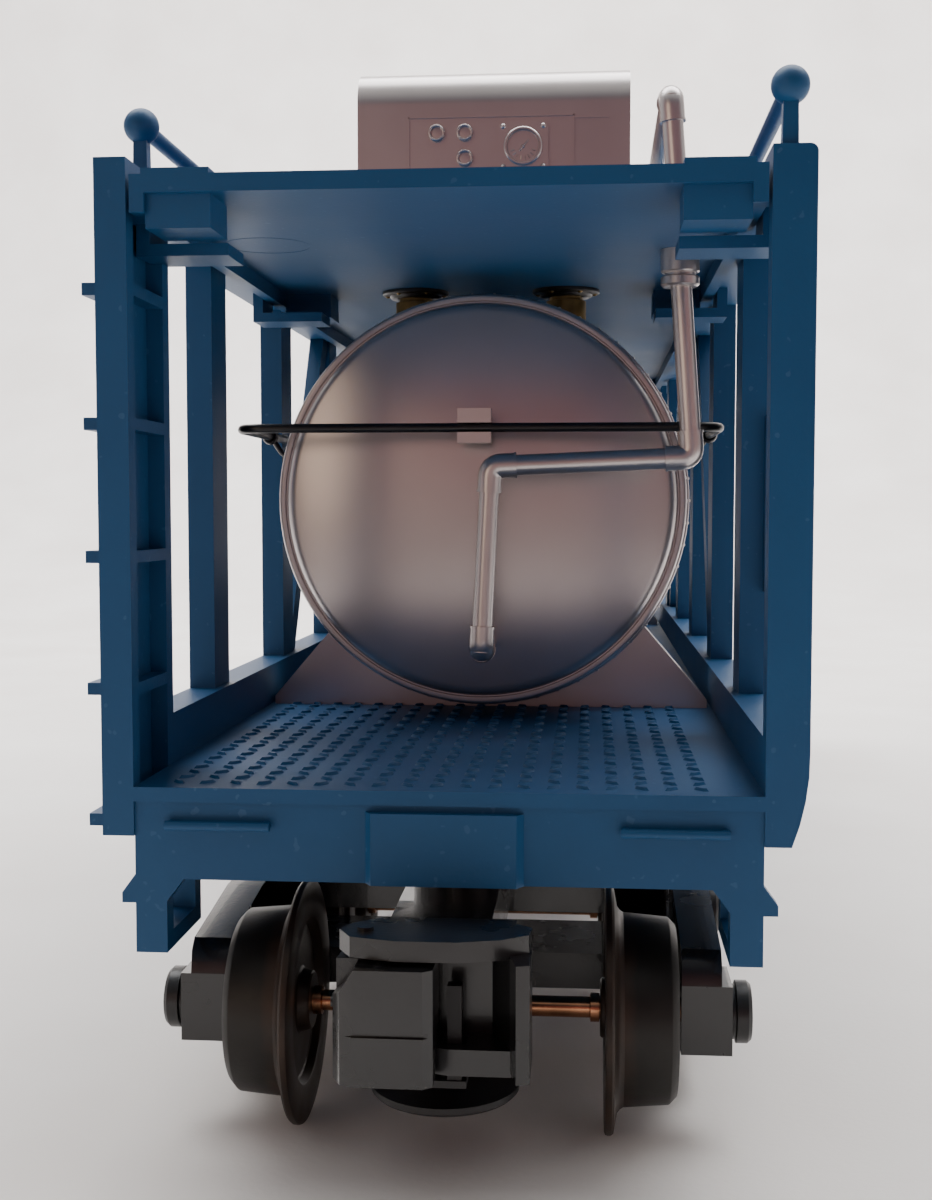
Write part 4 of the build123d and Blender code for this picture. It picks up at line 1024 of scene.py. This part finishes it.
def wheel_pair(y):
    """Two wheels on one axle line: the section runs from the hub over the back, flange, tread and face."""
    inner, outer = WHEEL_INNER, WHEEL_HIGH[0]
    tread = inner + 1.4
    tip = (WHEEL_HIGH[2] - WHEEL_LOW[2]) / 2
    flange = [(tip - 0.3, inner), (tip - 0.07, inner + 0.09), (tip, inner + 0.3), (tip - 0.03, inner + 0.62),
              (tip - 0.2, inner + 0.84)]
    root = [(9.5, tread - 0.22), (9.15, tread + 0.05), (8.95, tread + 0.35)]
    outside = [(8.6, outer - 0.75), (8.52, outer - 0.62), (7.98, outer - 0.1), (7.85, outer)]
    face = [(7.2, outer), (7.05, outer - 0.12), (6.85, outer - 1.0), (6.7, outer - 1.1), (3.1, outer - 1.1),
            (2.85, outer - 0.95), (2.7, outer - 0.3), (2.55, outer - 0.2), (1.15, outer - 0.2)]
    back = [(1.15, inner - 0.4), (2.6, inner - 0.4), (2.75, inner - 0.25), (3.0, inner + 0.65),
            (3.2, inner + 0.8), (7.2, inner + 0.9), (7.4, inner + 0.8), (7.85, inner + 0.1), (8.05, inner)]
    profile = np.vstack([back, flange, root, outside, face])
    return mirrored(turned(profile, "x", (0, y, AXLE_HEIGHT), 120, closed=True))


def axle_rod(y):
    """The axle: a plated rod with a fine collar beside each wheel."""
    end, collar = AXLE_HIGH[0], 13.7
    half = [(0, end), (0.85, end), (1.1, end - 0.3), (1.1, collar + 0.05), (1.35, collar),
            (1.35, collar - 0.8), (0.98, collar - 0.9), (0.98, 0.0)]
    profile = np.vstack([half, [(radius, -x) for radius, x in half[-2::-1]]])
    return turned(profile, "x", (0, y, AXLE_HEIGHT), 48)


def end_caps(y):
    """The caps outside the journal boxes: a stepped disc with a shallow sunk face and a centre boss."""
    start, end = CAPS_HIGH[0] - 1.8, CAPS_HIGH[0]
    profile = [(0, start), (2.55, start), (2.55, start + 0.3), (2.9, start + 0.4), (2.9, end - 0.35),
               (2.6, end), (2.1, end), (1.95, end - 0.18), (0.9, end - 0.18), (0.75, end - 0.02), (0, end)]
    return mirrored(turned(profile, "x", (0, y, AXLE_HEIGHT), 56))


class WAGON_OT_wheelsets(bpy.types.Operator):
    """Make the axles, flanged wheels and bearing caps"""
    bl_idname = "wagon.wheelsets"
    bl_label = "Wheelsets"

    def execute(self, context):
        for place, y in (("outer", -AXLE_OFFSET), ("inner", AXLE_OFFSET)):
            kinds = (("axle", "plated_axle", axle_rod(y), "axle_metal"),
                     ("wheels", "flanged_wheels", wheel_pair(y), "wheel_metal"))
            for kind, name, shape, slot in kinds:
                for letter, here in truck_places(shape).items():
                    tail = place + "_" + letter
                    make(name + "_" + tail, here, "wheelset_" + tail, slot, (kind + "_" + tail,), sharp=28)
            for letter, here in truck_places(end_caps(y)).items():
                tail = place + "_" + letter
                make("box_caps_" + tail, here, "side_frames_" + letter, "cap_metal",
                     ("bearing_caps_" + tail,), sharp=28)
        return {"FINISHED"}


class WAGON_OT_couplers(bpy.types.Operator):
    """Make each coupler's head, knuckle, pins, release flap and pull disc"""
    bl_idname = "wagon.couplers"
    bl_label = "Couplers"

    def execute(self, context):
        look = context.scene.wagon_sizes
        kinds = (("coupler_body", "coupler_head", "truck", "coupler_metal"),
                 ("knuckle", "coupler_knuckle", "knuckle_body", "coupler_metal"),
                 ("coupler_pins", "coupler_rivets", "truck", "coupler_metal"),
                 ("release_flap", "release_lever", "release", "release_metal"),
                 ("release_disc", "release_plate", "release", "release_metal"))
        for letter in "ab":
            for node, name, body, slot in kinds:
                node = node + "_" + letter
                make(name + "_" + letter, own_shape(node), body + "_" + letter, slot, (node,),
                     look.cast_edge * 1.2)
        return {"FINISHED"}


# --- studio ----------------------------------------------------------------------------------------------
def area_light(name, place, aim, width, depth, power, code="#FFFFFF"):
    """A soft rectangular light at a place, facing its aim; all in metres."""
    light = bpy.data.lights.new(name, "AREA")
    light.shape = "RECTANGLE"
    light.size = width
    light.size_y = depth
    light.energy = power
    light.color = linear(code)[:3]
    lamp = bpy.data.objects.new(name, light)
    lamp.location = place
    lamp.rotation_euler = (Vector(aim) - Vector(place)).to_track_quat("-Z", "Y").to_euler()
    bpy.context.scene.collection.objects.link(lamp)


def room_light(world):
    """The room round the table: bright and even behind and above, darker and browner in front, where the
    tank's head mirrors it. The colour follows a ray's height, and the front share its turn towards -Y."""
    back = world.node_tree.nodes["Background"]
    heading = add(world, "ShaderNodeTexCoord").outputs["Generated"]
    parts = add(world, "ShaderNodeSeparateXYZ", in_Vector=heading)
    height = add(world, "ShaderNodeMapRange", in_Value=parts.outputs["Z"], in_From_Min=-1.0, in_From_Max=1.0)
    front = ramp(world, height.outputs["Result"],
                 [(0.2, linear("#6A7080")), (0.375, linear("#B8B0AC")), (0.475, linear("#D8C6C0")),
                  (0.56, linear("#D49A9A")), (0.65, linear("#94666E")), (0.725, linear("#465468")),
                  (0.9, linear("#E8E6E4"))])
    share = add(world, "ShaderNodeMapRange", in_Value=parts.outputs["Y"], in_From_Min=0.15,
                in_From_Max=-0.45, interpolation_type="SMOOTHSTEP")
    tone = add(world, "ShaderNodeMix", data_type="RGBA", in_0=share.outputs["Result"],
               in_6=linear("#F3EFEE"), in_7=front)
    world.node_tree.links.new(tone.outputs[2], back.inputs["Color"])
    back.inputs["Strength"].default_value = 0.72


class WAGON_OT_studio(bpy.types.Operator):
    """Make the pale floor and backdrop, with painted shade on the floor's near part, the soft lights, the
    world and the camera
    """
    bl_idname = "wagon.studio"
    bl_label = "Studio"

    def execute(self, context):
        look = context.scene.wagon_colours
        material, place = finish("backdrop_paper")
        cloud = noise(material, place, 60.0, 4.0)
        tone = ramp(material, cloud, [(0.3, linear("#E4DFDB")), (0.7, tuple(look.backdrop))])
        grain = noise(material, place, 0.8, 3.0)
        # Painted shade: from Y -0.15 m to -0.42 m, towards the camera, the floor turns a dark brownish grey
        # (#8A7470). This stands in for the shade in front of the wagon and also dims what the tank's head and
        # the fronts mirror.
        parts = add(material, "ShaderNodeSeparateXYZ", in_Vector=place)
        painted_shade_near = add(material, "ShaderNodeMapRange", in_Value=parts.outputs["Y"], in_From_Min=-0.15,
                     in_From_Max=-0.42, interpolation_type="SMOOTHSTEP")
        paper_with_painted_shade = add(material, "ShaderNodeMix", data_type="RGBA", in_0=painted_shade_near.outputs["Result"], in_6=tone,
                    in_7=linear("#8A7470"))
        shader = add(material, "ShaderNodeBsdfPrincipled", in_Base_Color=paper_with_painted_shade.outputs[2], in_Roughness=0.7,
                     in_Normal=bump(material, grain, 0.03))
        surface(material, shader)
        near, far, height, bend, half_width = -900.0, 900.0, 1600.0, 500.0, 1500.0
        curve = arc((far - bend, bend), bend, -90, 0, 24)
        line = np.vstack([[(near, 0.0)], curve, [(far, height)]])
        across = np.array([-half_width, half_width])
        points = np.column_stack([np.repeat(across, len(line)), np.tile(line, (2, 1))])
        step = np.arange(len(line) - 1)
        quads = np.stack([step, step + len(line), step + len(line) + 1, step + 1], 1)
        mesh = bpy.data.meshes.new("backdrop")
        mesh.from_pydata((points * MM).tolist(), [], quads.tolist())
        mesh.polygons.foreach_set("use_smooth", np.ones(len(mesh.polygons), bool))
        mesh.materials.append(material)
        sweep = bpy.data.objects.new("backdrop", mesh)
        context.scene.collection.objects.link(sweep)

        area_light("overhead", (0.0, 0.14, 0.80), (0, 0.12, 0), 1.2, 0.5, 12.0)
        area_light("front_fill", (-0.6, -0.9, 0.25), (0, 0, 0.05), 0.5, 0.4, 0.9, "#FFE9C8")
        area_light("backdrop_light", (0.0, 0.30, 0.80), (0, 0.9, 0.3), 1.6, 0.5, 17.0)
        world = bpy.data.worlds.new("studio")
        context.scene.world = world
        world.use_nodes = True
        room_light(world)

        camera = bpy.data.cameras.new("camera")
        camera.lens = 44.52
        camera.sensor_width = 36.0
        camera.clip_start = 0.01
        eye = bpy.data.objects.new("camera", camera)
        eye.location = (0.01257, -0.25636, 0.05877)
        yaw, pitch = np.radians(-4.75), np.radians(-3.46)
        forward = Vector((np.sin(yaw) * np.cos(pitch), np.cos(yaw) * np.cos(pitch), np.sin(pitch)))
        eye.rotation_euler = forward.to_track_quat("-Z", "Y").to_euler()
        context.scene.collection.objects.link(eye)
        context.scene.camera = eye
        return {"FINISHED"}


# --- panel and running -----------------------------------------------------------------------------------
STEPS = (WAGON_OT_finishes, WAGON_OT_deck, WAGON_OT_walls, WAGON_OT_roof, WAGON_OT_tank,
         WAGON_OT_tank_fittings, WAGON_OT_wire, WAGON_OT_pipes, WAGON_OT_cabinet, WAGON_OT_truck_frames,
         WAGON_OT_springs, WAGON_OT_wheelsets, WAGON_OT_couplers, WAGON_OT_studio)


class WAGON_PT_panel(bpy.types.Panel):
    """The wagon's settings and steps in the sidebar"""
    bl_idname = "WAGON_PT_panel"
    bl_label = "Tank wagon"
    bl_space_type = "VIEW_3D"
    bl_region_type = "UI"
    bl_category = "Wagon"

    def draw(self, context):
        for settings in (context.scene.wagon_sizes, context.scene.wagon_colours):
            for key in settings.__annotations__:
                self.layout.prop(settings, key)
        for step in STEPS:
            self.layout.operator(step.bl_idname)


CLASSES = (WagonSizes, WagonColours, *STEPS, WAGON_PT_panel)


def register():
    """Adds the classes, and the two groups of settings to the scene."""
    for kind in CLASSES:
        bpy.utils.register_class(kind)
    bpy.types.Scene.wagon_sizes = PointerProperty(type=WagonSizes)
    bpy.types.Scene.wagon_colours = PointerProperty(type=WagonColours)


def unregister():
    """Takes the settings and the classes away again."""
    del bpy.types.Scene.wagon_sizes
    del bpy.types.Scene.wagon_colours
    for kind in reversed(CLASSES):
        bpy.utils.unregister_class(kind)


def main():
    """Makes everything in order."""
    register()
    for step in STEPS:
        group, name = step.bl_idname.split(".")
        getattr(getattr(bpy.ops, group), name)()


if __name__ == "__main__":
    main()
